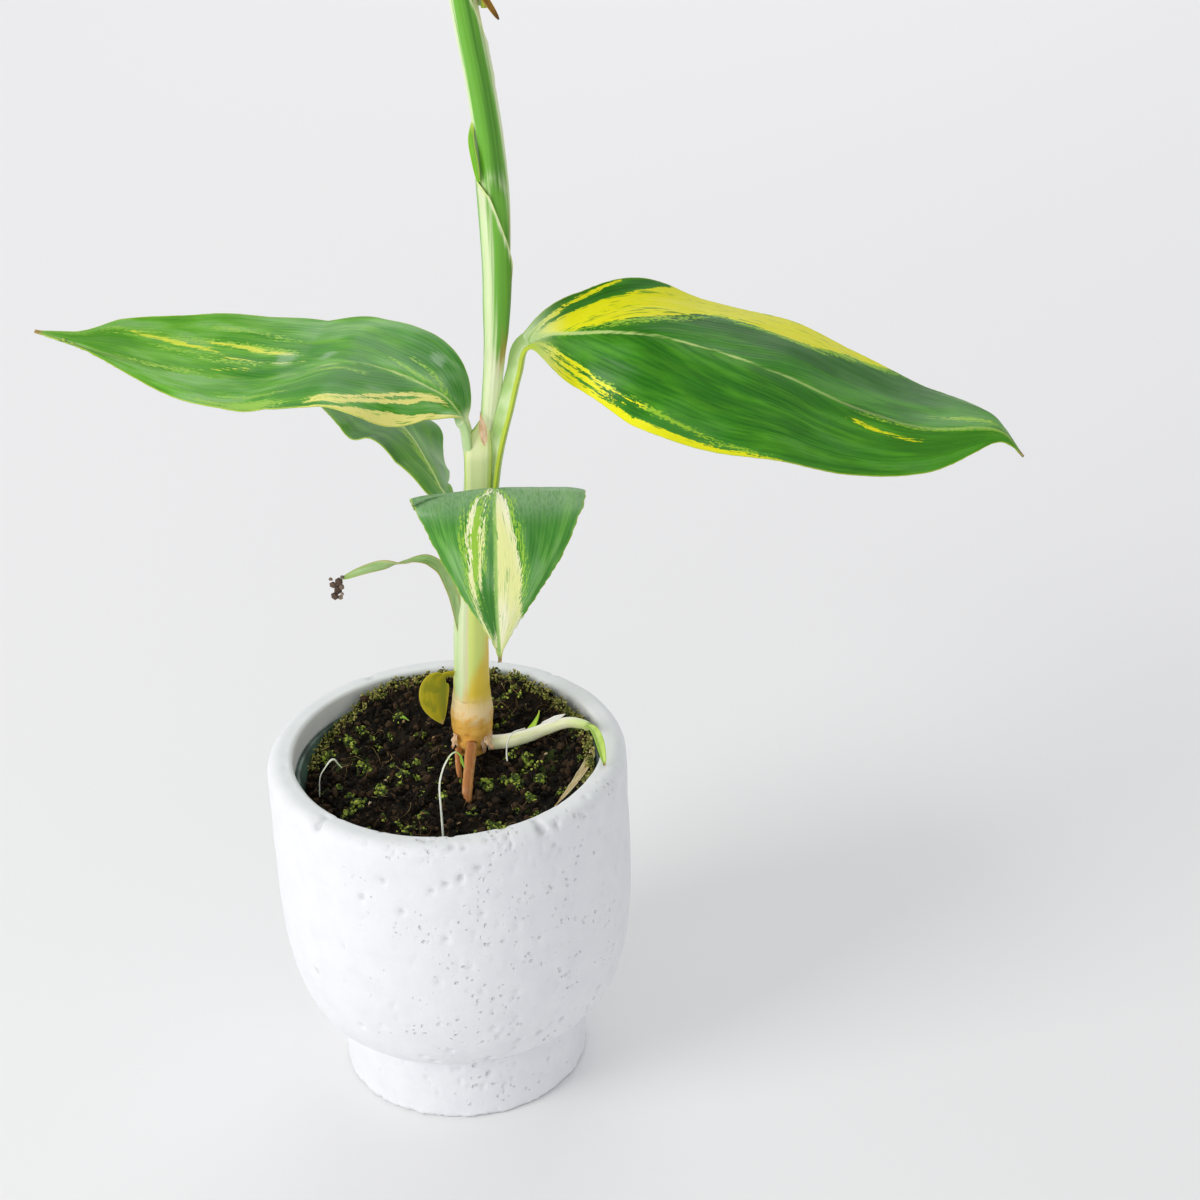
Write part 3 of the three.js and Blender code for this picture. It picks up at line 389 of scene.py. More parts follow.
# Where the stripes of each leaf lie. A stripe is a list of (u, low, high): u runs along the blade
# from 0 at its foot to 1 at its tip, and low and high are its two edges across the blade, where -1
# is the left margin, 0 the midrib and 1 the right margin, seen from above with the tip ahead.
# yellow is the cream to lemon tissue without green, lime the speckled tissue beside it, and deep
# the darkest green.
STRIPES = {
    "leaf_right": dict(
        yellow=[
            [(0, -.3, -.05), (.03, -.32, -.03), (.05, -.45, -.06), (.08, -.55, -.1), (.12, -.64, -.17),
             (.17, -.67, -.23), (.2, -.74, -.27), (.25, -.95, -.36), (.28, -1.1, -.44), (.31, -1.1, -.55),
             (.36, -1.1, -.66), (.42, -1.1, -.62), (.5, -1.1, -.6), (.55, -1.1, -.63), (.6, -1.1, -.75),
             (.66, -1.1, -.88), (.74, -1.1, -1.02)],
            [(0, -.6, -.35), (.03, -.7, -.42), (.05, -.8, -.55), (.08, -.84, -.72), (.12, -.92, -.82),
             (.17, -.98, -.93)],
            [(0, .5, 1.1), (.05, .7, 1.1), (.1, .86, 1.1), (.15, .9, 1.1), (.25, .92, 1.1),
             (.35, .935, 1.1), (.45, .96, 1.1), (.54, 1, 1.1)],
            [(.02, .25, .42), (.06, .36, .5), (.1, .52, .6), (.14, .68, .74), (.2, .755, .785),
             (.25, .77, .785)],
            [(.03, .5, .62), (.1, .66, .76), (.14, .78, .84), (.2, .82, .85), (.24, .84, .85)],
            [(.65, .17, .2), (.7, .24, .27), (.77, .34, .36)],
        ],
        lime=[
            [(.06, -.17, -.06), (.1, -.2, -.09), (.2, -.27, -.17), (.28, -.42, -.33), (.34, -.6, -.52)],
            [(.33, -.68, -.6), (.4, -.64, -.58), (.52, -.62, -.56), (.58, -.72, -.62), (.65, -.9, -.78),
             (.74, -1.1, -.96)],
            [(.26, .77, .81), (.34, .82, .86), (.42, .89, .94), (.5, .96, 1)],
            [(.68, .01, .05), (.76, .04, .09), (.88, .05, .13), (.95, .05, .2)],
            [(.8, -.28, -.2), (.88, -.28, -.16), (.94, -.2, -.1)],
            [(.05, .24, .3), (.1, .5, .56), (.15, .66, .7), (.22, .73, .76)],
        ],
        deep=[
            [(.02, -.42, -.3), (.05, -.56, -.44), (.08, -.72, -.55), (.12, -.82, -.66), (.18, -.92, -.72),
             (.25, -1.1, -.94)],
            [(0, -1.1, -.66), (.05, -1.1, -.85), (.1, -1.1, -.92), (.2, -1.1, -1)],
            [(.24, -.4, -.3), (.32, -.55, -.34), (.45, -.58, -.3), (.6, -.7, -.3), (.7, -.9, -.4),
             (.82, -1, -.45)],
        ],
    ),
    "leaf_left": dict(
        yellow=[
            [(0, -1.1, -.5), (.04, -1.1, -.7), (.1, -1.1, -.74), (.15, -1.1, -.74), (.2, -1.1, -.87),
             (.26, -1.1, -.95), (.34, -1.1, -1)],
            [(.05, -.28, -.12), (.1, -.42, -.28), (.12, -.55, -.42), (.18, -.68, -.6), (.25, -.9, -.82),
             (.32, -.94, -.9)],
            [(.08, -.26, -.16), (.13, -.38, -.28), (.17, -.52, -.44), (.2, -.64, -.56), (.25, -.79, -.73),
             (.31, -.86, -.83)],
            [(.41, .21, .24), (.48, .22, .25)],
            [(.54, .13, .17), (.62, .1, .14)],
            [(.5, .27, .3), (.61, .29, .33)],
            [(.45, .36, .4), (.5, .4, .45), (.56, .46, .52), (.64, .52, .56)],
            [(.61, .37, .41), (.68, .45, .5), (.74, .54, .6), (.82, .68, .72)],
        ],
        lime=[
            [(.38, -.95, -.86), (.44, -1, -.8), (.5, -1, -.76), (.56, -.95, -.78), (.62, -.9, -.82)],
            [(.4, -.7, -.62), (.48, -.68, -.58), (.55, -.62, -.56)],
            [(.25, -.24, -.16), (.33, -.18, -.1), (.42, -.08, -.03)],
            [(.44, .36, .44), (.55, .46, .56), (.66, .52, .6), (.8, .66, .74), (.92, .8, .9)],
            [(.5, .22, .27), (.62, .26, .33), (.74, .38, .42)],
            [(.46, .6, .65), (.55, .68, .73), (.63, .75, .79)],
            [(.07, .03, .08), (.15, .12, .17), (.21, .26, .3)],
            [(.06, .1, .15), (.12, .25, .3), (.17, .42, .46)],
            [(.63, .04, .1), (.72, .02, .08), (.8, 0, .04)],
        ],
        deep=[
            [(0, -.05, 1.1), (.08, .08, 1.1), (.16, .2, 1.1), (.22, .5, 1.1)],
            [(.12, -.3, -.05), (.2, -.5, -.05), (.26, -.6, -.2), (.32, -.6, -.35)],
            [(.4, .02, .18), (.5, .02, .16), (.58, .02, .1)],
        ],
    ),
    "leaf_front": dict(
        yellow=[
            [(0, -1.1, -.8), (.02, -.95, -.6), (.04, -.7, -.4), (.07, -.45, -.24), (.1, -.34, -.17),
             (.15, -.24, -.1), (.2, -.17, -.06), (.3, -.07, -.01), (.385, -.03, 0), (.42, -.125, 0),
             (.475, -.17, 0), (.565, -.29, 0), (.655, -.43, 0), (.75, -.6, 0), (.8, -.75, .01),
             (.83, -.95, .02), (.88, -1.1, .1), (.94, -1.1, .8), (1.01, -1.1, 1.1)],
            [(.36, .02, .05), (.385, .05, .09), (.42, .18, .24), (.475, .28, .35), (.565, .38, .46),
             (.655, .43, .51), (.75, .58, .68), (.83, .72, .84), (.92, .7, 1.1)],
            [(.02, .04, .12), (.1, .04, .11), (.2, .04, .09), (.3, .03, .06), (.38, .03, .06),
             (.42, .09, .14), (.475, .13, .19), (.565, .19, .25), (.655, .26, .33), (.72, .36, .42)],
        ],
        lime=[
            [(.37, -.06, -.02), (.42, -.22, -.11), (.475, -.27, -.16), (.565, -.39, -.27),
             (.655, -.53, -.41), (.75, -.68, -.58)],
            [(.37, .02, .1), (.42, .06, .28), (.475, .1, .4), (.565, .16, .52), (.655, .22, .56),
             (.75, .5, .8)],
            [(0, .1, .35), (.1, .1, .3), (.2, .08, .2), (.3, .05, .12)],
            [(.03, -.62, -.3), (.07, -.6, -.4), (.12, -.42, -.3), (.2, -.24, -.15), (.28, -.12, -.06)],
        ],
        deep=[
            [(.4, .01, .06), (.475, .01, .1), (.565, .01, .16), (.655, .01, .22), (.75, .02, .5),
             (.83, .04, .7), (.92, .1, .75)],
            [(.42, -.55, -.25), (.55, -.6, -.36), (.66, -.7, -.52)],
            [(.01, -.4, -.02), (.05, -.3, -.02), (.1, -.15, -.02), (.2, -.06, -.01)],
        ],
    ),
    "leaf_back": dict(
        yellow=[[(.42, -.12, .1), (.48, -.2, .4), (.54, -.25, 1.1), (.6, -.2, 1.1), (.64, .1, 1.1)]],
        lime=[
            [(.05, -.5, -.16), (.12, -.34, -.12), (.2, -.3, -.12), (.3, -.22, -.05), (.42, -.16, .02)],
            [(.66, -.2, .3), (.72, -.25, .1), (.85, -.3, .1)],
        ],
        deep=[
            [(.2, -1.1, -.86), (.4, -.85, -.68), (.6, -.8, -.62), (.8, -.85, -.55)],
            [(.3, -.6, -.45), (.45, -.55, -.42), (.8, -.6, -.4)],
            [(.12, .05, .9), (.2, .05, .7), (.3, .1, .5)],
        ],
    ),
    "leaf_top_right": dict(
        yellow=[
            [(.02, .05, .3), (.1, .12, .5), (.2, .3, .72), (.3, .48, .86), (.42, .62, 1), (.55, .76, 1.1),
             (.7, .9, 1.1)],
            [(.03, -.6, -.4), (.1, -.8, -.66), (.18, -.92, -.85), (.3, -.99, -.94)],
            [(.3, -.4, -.34), (.45, -.55, -.5), (.6, -.72, -.68)],
        ],
        lime=[
            [(.05, .02, .2), (.2, .2, .4), (.35, .42, .6), (.5, .6, .76), (.7, .85, 1)],
            [(.25, -.4, -.28), (.45, -.6, -.46), (.65, -.8, -.7)],
        ],
        deep=[[(.05, .3, 1.1), (.12, .6, 1.1), (.22, .85, 1.1)], [(.2, -.3, -.05), (.5, -.3, -.05)]],
    ),
    "leaf_top_left": dict(
        yellow=[
            [(.02, -1.1, -.6), (.1, -1.1, -.8), (.2, -1.1, -.86), (.35, -1.1, -.93), (.5, -1.1, -1)],
            [(.05, -.3, -.15), (.12, -.5, -.4), (.2, -.7, -.6), (.3, -.84, -.78)],
            [(.4, .25, .3), (.55, .4, .47), (.7, .6, .66)],
            [(.02, .3, .5), (.1, .5, .62), (.2, .7, .76)],
        ],
        lime=[
            [(.4, -.6, -.4), (.52, -.75, -.5), (.66, -.9, -.7)],
            [(.35, .2, .34), (.55, .36, .54), (.75, .6, .76)],
        ],
        deep=[[(0, 0, 1.1), (.1, .1, 1.1), (.2, .5, 1.1)], [(.2, -.5, -.1), (.35, -.45, -.1)]],
    ),
}


def stripe_field(stripes, u, v, reach, length):
    """How far inside the nearest stripe each point lies, in mm, and below 0 outside: the smaller of
    its distances from the stripe's two edges, times the blade's half-width there, and a quarter of
    its distance along the blade from the stripe's two ends, so that stripes end in long points. A
    stripe that starts at the foot or ends at the tip of the blade has no point there."""
    field = np.full(v.shape, FAR_OUTSIDE)
    for stripe in stripes:
        rows = np.array(stripe, float)
        low, high = (np.interp(u, rows[:, 0], rows[:, k]) for k in (1, 2))
        inside = np.minimum(v - low, high - v) * reach
        if rows[-1, 0] >= 1:
            ends = u - rows[0, 0]
        elif rows[0, 0] <= 0:
            ends = rows[-1, 0] - u
        else:
            ends = np.minimum(u - rows[0, 0], rows[-1, 0] - u)
        field = np.maximum(field, np.minimum(inside, ends * length * 0.25))
    return field


def half_reach(half, u):
    """Half-width of a blade half: width (u / p)^f ((1 - u) / (1 - p))^(f (1 - p) / p), a hump that
    is zero at both ends and equals width at u = p, its peak. f may differ before and after it."""
    u = np.clip(u, 0.002, 0.998)
    full = half["full"] if isinstance(half["full"], tuple) else (half["full"], half["full"])
    full = np.where(u < half["peak"], full[0], full[1])
    rest = full * (1 - half["peak"]) / half["peak"]
    return half["width"] * (u / half["peak"]) ** full * ((1 - u) / (1 - half["peak"])) ** rest


def leaf_rings(leaf, rows, columns, petiole_rows, thickness, relief=1.0, sink=0.0):
    """Closed rings round a leaf, and the coordinates of each of their points.

    The leaf is carried along its spine. Across it, each half is an arc that starts at the fold
    angle and turns on by the curl to the margin: out = reach v (sin(fold + curl v) - sin fold) /
    (curl v), and the same with cosines for the rise, plus the margin's ripple, v^2 sin(2 pi (n u +
    phase)), less a droop v^7 where the leaf hangs over, and the margin is a little ragged. The
    petiole is a channel. A side vein keeps the value of sqrt(u) (1 - |v|), so it leaves the
    midrib, bends forward and runs out along the margin, and the blade is gently pleated along
    these veins. The lower face lies one thickness below, more where the rib is. The petiole starts
    inside the stem, `sink` mm before its path."""
    path, arc = spine(leaf["spine"])
    foot = arc[leaf["blade_from"] * PATH_STEPS]
    length = arc[-1] - foot
    step = np.linspace(0, 1, rows)
    blade_u = (step + (1 - np.cos(np.pi * step)) / 2) / 2
    stalk_s = np.linspace(-sink, foot, petiole_rows, endpoint=False) if petiole_rows else np.zeros(0)
    u = np.concatenate([np.zeros(len(stalk_s)), blade_u])
    s = np.concatenate([stalk_s, foot + length * blade_u])
    # Columns stand closer towards the margins.
    v = np.sin(np.linspace(-1, 1, columns) * np.pi / 2 * 0.9) / np.sin(np.pi / 2 * 0.9)
    middle, heading = on_path(path, arc, np.maximum(s, 0))
    middle = middle + heading * np.minimum(s, 0)[:, None]
    ahead = math.radians(leaf["heading"])
    hand = np.array([math.sin(ahead), -math.cos(ahead), 0])
    side = unit(hand - (heading @ hand)[:, None] * heading)
    face = np.cross(side, heading)
    roll = np.radians(along(leaf["roll"], u))[:, None]
    right = np.cos(roll) * side + np.sin(roll) * face
    up = np.cos(roll) * face - np.sin(roll) * side
    # Blades under 6 mm to a side have no deep channel and no thick rib.
    small = max(leaf["right"]["width"], leaf["left"]["width"]) < 6
    stalk = leaf["stalk"] * (1 - 0.75 * smoothstep(u))
    channel = 1 - smoothstep(u, 0, leaf.get("channel", 0.12))
    droop = along(leaf.get("droop", (0, 0)), u)[:, None]
    on_blade = (s >= foot - 1e-6).astype(float)
    grid = np.zeros((len(u), columns, 3))
    reach = np.zeros((len(u), columns))
    for sign, half in ((-1, leaf["left"]), (1, leaf["right"])):
        pick = (v < 0) if sign < 0 else (v >= 0)
        across = np.abs(v[pick])[None, :]
        grown = half_reach(half, u) * on_blade * (1 - leaf.get("beak", 0) * smoothstep(u, 0.84, 0.93))
        wide = (np.maximum(stalk, grown) if small else (stalk**3 + grown**3) ** (1 / 3))[:, None]
        fold = along(half["fold"], u) * (1 - channel) + (0 if small else 25) * channel
        fold = np.radians(fold)[:, None]
        curl = np.radians(half["curl"]) * across * (1 - channel)[:, None]
        curl = np.where(np.abs(curl) < 1e-6, 1e-6, curl)
        out = wide * across * (np.sin(fold + curl) - np.sin(fold)) / curl
        rise = wide * across * (np.cos(fold) - np.cos(fold + curl)) / curl
        height, count, phase = half["wave"]
        ripple = np.sin(2 * np.pi * (count * u + phase)) * np.minimum(1, 2 * grown / half["width"])
        ripple = ripple * smoothstep(u, 0, 0.12)
        rise = rise + height * across**2 * ripple[:, None] - droop * across**7
        if not small:
            ragged = leaf.get("ragged", 0.1) * hills(s + 10, 0 * s + 3 * sign + 9, 0.9, 8)
            out = out + (ragged * on_blade)[:, None] * across**14
        moved = sign * out[..., None] * right[:, None]
        grid[:, pick] = middle[:, None] + moved + rise[..., None] * up[:, None]
        reach[:, pick] = wide
    normal = unit(np.cross(np.gradient(grid, axis=1), np.gradient(grid, axis=0)))
    u_grid, v_grid = np.broadcast_to(u[:, None], reach.shape), np.broadcast_to(v[None, :], reach.shape)
    vein = np.sqrt(u_grid) * (1 - np.abs(v_grid)) * np.sign(v_grid + 1e-9)
    nominal = (leaf["right"]["width"] + leaf["left"]["width"]) / 2
    from_rib = np.abs(v_grid) * reach
    if relief:
        open_blade = smoothstep(u_grid, 0.02, 0.14) * smoothstep(1 - u_grid, 0, 0.1)
        pleat = 0.05 * np.sin(np.abs(vein) * nominal * 2 * np.pi / 3.3 + 2 * np.sin(9 * u_grid + 2 * v_grid))
        swell = 0.7 * hills(u_grid * length, vein * nominal * 2.2, 17, 5)
        groove = -0.5 * np.exp(-((from_rib / 1.1) ** 2)) * (1 - 0.7 * u_grid)
        keep = smoothstep(1 - np.abs(v_grid), 0, 0.25)
        lift = open_blade * (pleat * keep + swell * np.minimum(1, from_rib / 8)) + groove * on_blade[:, None]
        grid = grid + relief * lift[..., None] * normal
    rib = 0 if small else (1.1 - 0.9 * u_grid) + channel[:, None] * 1.1
    rib = rib * np.maximum(0, 1 - from_rib / 2.4) ** 0.7
    under = grid - (thickness + rib)[..., None] * normal if np.ndim(rib) else grid - thickness * normal
    rings = np.concatenate([grid, under[:, ::-1]], axis=1)

    def both(a, b=None):
        b = a if b is None else b
        return np.concatenate([a, b[:, ::-1]], axis=1)

    coordinates = dict(
        u=both(u_grid), v=both(v_grid), reach=both(reach), length=length,
        below=both(np.zeros_like(u_grid), np.ones_like(u_grid)),
        blade=both(np.broadcast_to(on_blade[:, None], u_grid.shape)),
        channel=both(np.broadcast_to(channel[:, None], u_grid.shape)),
        s=both(np.broadcast_to(s[:, None] - foot, u_grid.shape)),
        veins=both(np.abs(vein) * nominal),
    )
    return rings, coordinates


def blade_piece(name, rings, finish, fields):
    """The mesh of a blade from its rings, with three numbers a point in each field."""
    faces = ring_faces(*rings.shape[:2], caps="strips")
    fields = {key: np.stack(values, -1).reshape(-1, 3) for key, values in fields.items()}
    return mesh_piece(name + "_blade", rings.reshape(-1, 3), faces, finish, fields)


def striped_leaf(name, finish, rib_line=((0, 0), (1, 0)), size=(170, 73), marks=(), relief=1.0):
    """A blade with its petiole as one closed skin. Its fields are read by the leaf finish: veins
    holds the way along the leaf, the vein's number and the way across, in metres; stripes holds how
    far inside the yellow, lime and deep green stripes a point lies, in mm; parts holds its distance
    from the midrib in mm, the share of petiole, and 1 on the lower face; and ends holds its
    distance from the tip and from the margin, and how far inside a dried water mark it lies."""
    leaf = LEAVES[name]
    rings, at = leaf_rings(leaf, *size, 10 * leaf["blade_from"], 0.45, relief=relief, sink=5.0)
    across = at["v"] * at["reach"]
    stripes = [stripe_field(STRIPES[name][kind], at["u"], at["v"], at["reach"], at["length"])
               for kind in ("yellow", "lime", "deep")]
    rib = np.abs(at["v"] - np.interp(at["u"], *np.array(rib_line, float).T)) * at["reach"]
    petiole = np.where(at["blade"] > 0, at["channel"] ** 4, 1)
    mark = np.full(rib.shape, FAR_OUTSIDE)
    for u, v, radius in marks:
        away = np.hypot((at["u"] - u) * at["length"], (at["v"] - v) * at["reach"])
        mark = np.maximum(mark, 0.6 * (radius - away))
    fields = dict(
        veins=(at["s"] * MM, at["veins"] * MM, across * MM), stripes=stripes,
        parts=(rib, petiole, at["below"]),
        ends=((1 - at["u"]) * at["length"], (1 - np.abs(at["v"])) * at["reach"], mark),
    )
    settle(blade_piece(name, rings, finish, fields), "leaf_tissue", name)


def leaf_finish(name, green, light, deep, cream="#e9ecab", lemon="#dce21a", lime="#a2cc2c", rib="#c8de86",
                ragged=1.0, cream_to=None, painted_sheen_colour="#7f9c78", waxy=0.4, painted_sheen_at=None, fresh_from=None,
                stalk="#d3e7b0", stalk_line="#98c45a", stalk_edge="#bfd02c", soft=0.14,
                rib_to=(0.06, 0.12, 0.35)):
    """Living ginger leaf, a waxy cuticle over striped tissue: it gives a satin gloss that breaks up
    along the fine veins, colours that run in streaks along them, a grey painted sheen in places, and
    a paler, duller underside."""
    look = Finish(name)
    share, join = look.share, look.join
    veins = look.field("veins")
    way, stripes, parts, ends = (look.parts(key) for key in ("veins", "stripes", "parts", "ends"))
    # Streaks 1.5 mm wide and about 25 mm long, and finer ones of 0.4 mm.
    drawn_out = look.drawn(veins, 0.06, 1, 0.1)
    streak, fine = look.noise(drawn_out, 650, 3), look.noise(drawn_out, 2400, 2)
    # Speckles half a millimetre wide, where green cells are scattered in the yellow.
    speck = look.noise(look.drawn(veins, 0.3, 1, 0.5), 2300, 2)
    # Clouds about 12 mm wide and 30 mm long.
    cloud = look.noise(look.drawn(veins, 0.4, 1, 1), 85, 2)
    # Fine parallel veins 1 mm apart.
    lines = add(look.tree, "ShaderNodeTexWave", {
        0: drawn_out, "Scale": 314, "Distortion": 1.0, "Detail": 1, "Detail Scale": 0.4,
    }, bands_direction="Y").outputs["Fac"]
    wobble = join("ADD", share(streak, 0.3, 0.7, -0.6 * ragged, 0.6 * ragged),
                  share(fine, 0.3, 0.7, -0.5 * ragged, 0.5 * ragged))
    speckle = join("ADD", wobble, share(speck, 0.35, 0.65, -0.9 * ragged, 0.9 * ragged))
    edge = join("ADD", join("MULTIPLY", wobble, 0.5), join("MULTIPLY", speckle, 0.25))
    yellow = share(join("ADD", stripes[0], edge), -soft, soft)
    thread = join("MULTIPLY", share(fine, 0.56, 0.64, 0, 0.75), share(streak, 0.45, 0.58))
    yellow = join("MULTIPLY", yellow, join("SUBTRACT", 1, thread))
    limed = share(join("ADD", stripes[1], speckle), -0.1, 0.8, 0, 0.8)
    deepened = share(join("ADD", stripes[2], wobble), -0.8, 1.6, 0, 0.7)
    ribbed = share(join("ADD", parts[0], share(fine, 0.3, 0.7, -0.12, 0.12)), 0.3, 0.8, 0.85, 0)
    ribbed = join("MULTIPLY", ribbed, share(way[0], rib_to[0], rib_to[1], 1, rib_to[2]))
    # Painted sheen: a grey overlay in clouds along the veins, as strong as waxy gives, and where four lengths
    # along the blade are given, also over a fold of the blade.
    painted_sheen = join("MULTIPLY", share(cloud, 0.46, 0.66, 0, waxy), share(streak, 0.3, 0.6, 0.5, 1))
    if painted_sheen_at:
        start, full, fade, end = painted_sheen_at
        fold = join("MULTIPLY", share(way[0], start, full), share(way[0], fade, end, 1, 0))
        painted_sheen = join("MAXIMUM", painted_sheen, join("MULTIPLY", fold, share(speck, 0.3, 0.6, 0.4, 0.75)))
    fresh = [(share(way[0], *fresh_from, 0, 0.75), light)] if fresh_from else []
    colour = look.layers(
        linear(green), *fresh, (share(streak, 0.35, 0.68), light), (share(cloud, 0.35, 0.6, 0.55, 0), deep),
        (deepened, deep), (share(lines, 0.5, 0.95, 0, 0.16), light), (share(fine, 0.3, 0.45, 0.45, 0), deep),
        # The grey painted sheen is laid over here.
        (painted_sheen, painted_sheen_colour), (limed, lime))
    ripe = share(way[0], 0.25 * cream_to, cream_to) if cream_to else share(cloud, 0.38, 0.6)
    petiole = parts[1]
    colour = look.layers(
        colour,
        (yellow, look.layers(linear(cream), (ripe, lemon))),
        (share(ends[1], 0.12, 0.4, 0.6, 0), "#c6d23e"),
        (ribbed, rib),
        (share(join("ADD", ends[2], wobble), -0.3, 1.2, 0, 0.38), "#b9d0b4"),
        (share(ends[0], 0.8, 3.5, 0.95, 0), "#b08a50"),
        (petiole, stalk),
        # Long green stripes on the petiole, and its yellow-green right edge.
        (join("MULTIPLY", petiole, share(streak, 0.44, 0.58, 0, 0.7)), stalk_line),
        (join("MULTIPLY", petiole, share(way[2], 0.0008, 0.0016, 0, 0.9)), stalk_edge),
        (join("MULTIPLY", parts[2], join("SUBTRACT", 0.42, join("MULTIPLY", petiole, 0.35))), "#a5c79a"),
    )
    gloss = join("ADD", share(streak, 0.3, 0.7, 0.28, 0.42), join("MULTIPLY", parts[2], 0.22))
    return look.done(colour, gloss, (join("ADD", join("MULTIPLY", lines, 0.4), fine), 0.6, 0.00008),
                     IOR=1.45, Specular_IOR_Level=0.34, Subsurface_Weight=0.12,
                     Subsurface_Radius=(0.4, 1.0, 0.15), Subsurface_Scale=0.0015)


# Each call's grey sheen colour and strength set that leaf's painted sheen; the bluish green leaf also has it
# over a fold.
dark_leaf = leaf_finish("ginger leaf, dark green with lemon band", "#2c7f04", "#54a30e", "#175a05",
                        cream="#e6e67c", lemon="#eae808", cream_to=0.015, painted_sheen_colour="#548a44", waxy=0.45,
                        fresh_from=(0.1, 0.16))
cream_leaf = leaf_finish("ginger leaf, mid green with cream margin", "#489c18", "#7cc232", "#267812",
                         cream="#f2ea88", lemon="#dfe848", lime="#a4d04c", cream_to=0.1, soft=0.3,
                         painted_sheen_colour="#9dbb94", waxy=0.42, fresh_from=(0.06, 0.12), rib_to=(0.03, 0.07, 0.2),
                         stalk="#e0efc6", stalk_line="#b3d688", stalk_edge="#e8efc0")
fresh_leaf = leaf_finish("ginger leaf, fresh green", "#529c10", "#86c034", "#2f7a08", rib="#d8e89a",
                         painted_sheen_colour="#8aae6c", waxy=0.35, stalk_edge="#b4d23c")
blue_leaf = leaf_finish("ginger leaf, bluish green with cream band", "#45902c", "#74b648", "#2b7020",
                        cream="#f3f3cc", lemon="#e8eca0", lime="#a4d040", rib="#8fbf5a", ragged=1.3,
                        painted_sheen_colour="#9ab890", waxy=0.35, painted_sheen_at=(0.022, 0.034, 0.038, 0.052), rib_to=(0, 1, 1))
striped_leaf("leaf_right", dark_leaf, ((0, -.1), (.06, -.1), (.1, -.06), (.2, -.01), (.3, -.03), (.36, -.06),
                                       (.45, -.02), (.55, 0), (.7, 0), (.76, .05), (.86, .08), (1, 0)))
striped_leaf("leaf_left", cream_leaf, ((0, 0), (.1, -.03), (.15, .02), (.2, .05), (.3, .06), (.4, .02),
                                       (.5, .01), (.6, .05), (.72, .05), (.8, .02), (1, 0)),
             marks=((.46, .3, 4.6), (.13, .62, 3.4), (.36, .27, 3.2)))
striped_leaf("leaf_back", fresh_leaf, ((0, -.3), (.08, -.28), (.14, -.2), (.22, -.12), (.3, -.05), (.4, .02),
                                       (1, 0)), relief=0.2)
striped_leaf("leaf_front", blue_leaf, relief=0.5)
striped_leaf("leaf_top_right", dark_leaf, size=(160, 61))
striped_leaf("leaf_top_left", cream_leaf, size=(160, 61))


def small_leaf(name, finish, slot, thickness=0.3, size=(60, 25), **own):
    """A thin blade without stripes, from its own numbers or those of the leaf that it stands for.
    Its field `place` holds u, the share across, and 1 below; veins holds the way along and across
    in metres."""
    leaf = own or LEAVES[name]
    rings, at = leaf_rings(leaf, *size, 8 * leaf["blade_from"], thickness, relief=0)
    fields = dict(veins=(at["s"] * MM, at["v"] * at["reach"] * MM, at["below"] * MM),
                  place=(at["u"], at["v"], at["below"]))
    settle(blade_piece(name, rings, finish, fields), slot, *([] if own else [name]))


def tissue_finish(name, base, streaks, margin, tip, roughness, soft=0.1, blotch=None, tip_from=0.75,
                  right=None):
    """Thin plant tissue: slightly raised streaks run along it, its margin and its tip have their own
    colours, and the dry kinds are rougher."""
    look = Finish(name)
    veins, place = look.field("veins"), look.parts("place")
    # Streaks 0.6 mm wide and about 8 mm long.
    streak = look.noise(look.drawn(veins, 0.08, 1, 1), 1700, 3)
    steps = [(streak, 0.4, 0.65, streaks), (look.join("ABSOLUTE", place[1]), 0.72, 0.98, margin),
             (place[0], tip_from, 1.0, tip)]
    if blotch:
        steps.insert(1, (look.noise(veins, 260, 3), 0.52, 0.66, blotch))
    if right:
        steps.insert(-2, (place[1], -0.1, 0.5, right))
    colour = look.layers(linear(base), *(
        (look.share(value, low, high, 0, 0.85), tone) for value, low, high, tone in steps))
    return look.done(colour, roughness, (streak, 0.6, 0.00012), Specular_IOR_Level=0.35,
                     Subsurface_Weight=soft, Subsurface_Radius=(0.8, 1.0, 0.3), Subsurface_Scale=0.001)


small_leaf("leaf_twisted", tissue_finish(
    "young ginger leaf, pale olive", "#a3c47e", "#bdd69c", "#c2b266", "#9cb860", 0.5, blotch="#b3c486",
    soft=0.25, tip_from=0.9,
), "leaf_tissue", size=(110, 31))
small_leaf("leaf_yellow", tissue_finish(
    "yellowed leaf, dull", "#b9ad14", "#cbb81c", "#d0be2c", "#c9ae6a", 0.6, blotch="#9a9a18", soft=0.05,
    # Its right half is darker olive: painted shade on the side of the folded leaf that lies in shadow.
    tip_from=0.88, right="#8f9420",
), "yellowed_leaf", size=(80, 31))
small_leaf("side_shoot_leaf", tissue_finish(
    "young shoot leaf, light green", "#c2dc6a", "#d2e684", "#a6ca4c", "#8a5a2a", 0.42, blotch="#b6d45c",
    tip_from=0.93, soft=0.2, right="#9ac24a",
), "leaf_tissue", size=(80, 31))
small_leaf("side_shoot_bract", tissue_finish(
    "shoot bract, yellow green", "#a8d03a", "#c4e05a", "#8dbb2a", "#c7d64a", 0.4,
), "leaf_tissue")
small_leaf("sheath_lobe", tissue_finish(
    "sheath lobe, bright green", "#66ac10", "#7cbb24", "#a9c83a", "#c0d25a", 0.4, right="#5f9f14",
), "sheath_tissue")
small_leaf("dry_strip", tissue_finish(
    "dry leaf strip, straw", "#d9c79a", "#b79a68", "#e8dcb8", "#a98a58", 0.8, blotch="#c4ab78",
), "dry_sheath", size=(110, 25))
small_leaf("dry_tip", tissue_finish(
    "dry leaf tip, brown", "#9a6f22", "#6f4a16", "#c39a3c", "#5a3a14", 0.7,
), "dry_sheath")
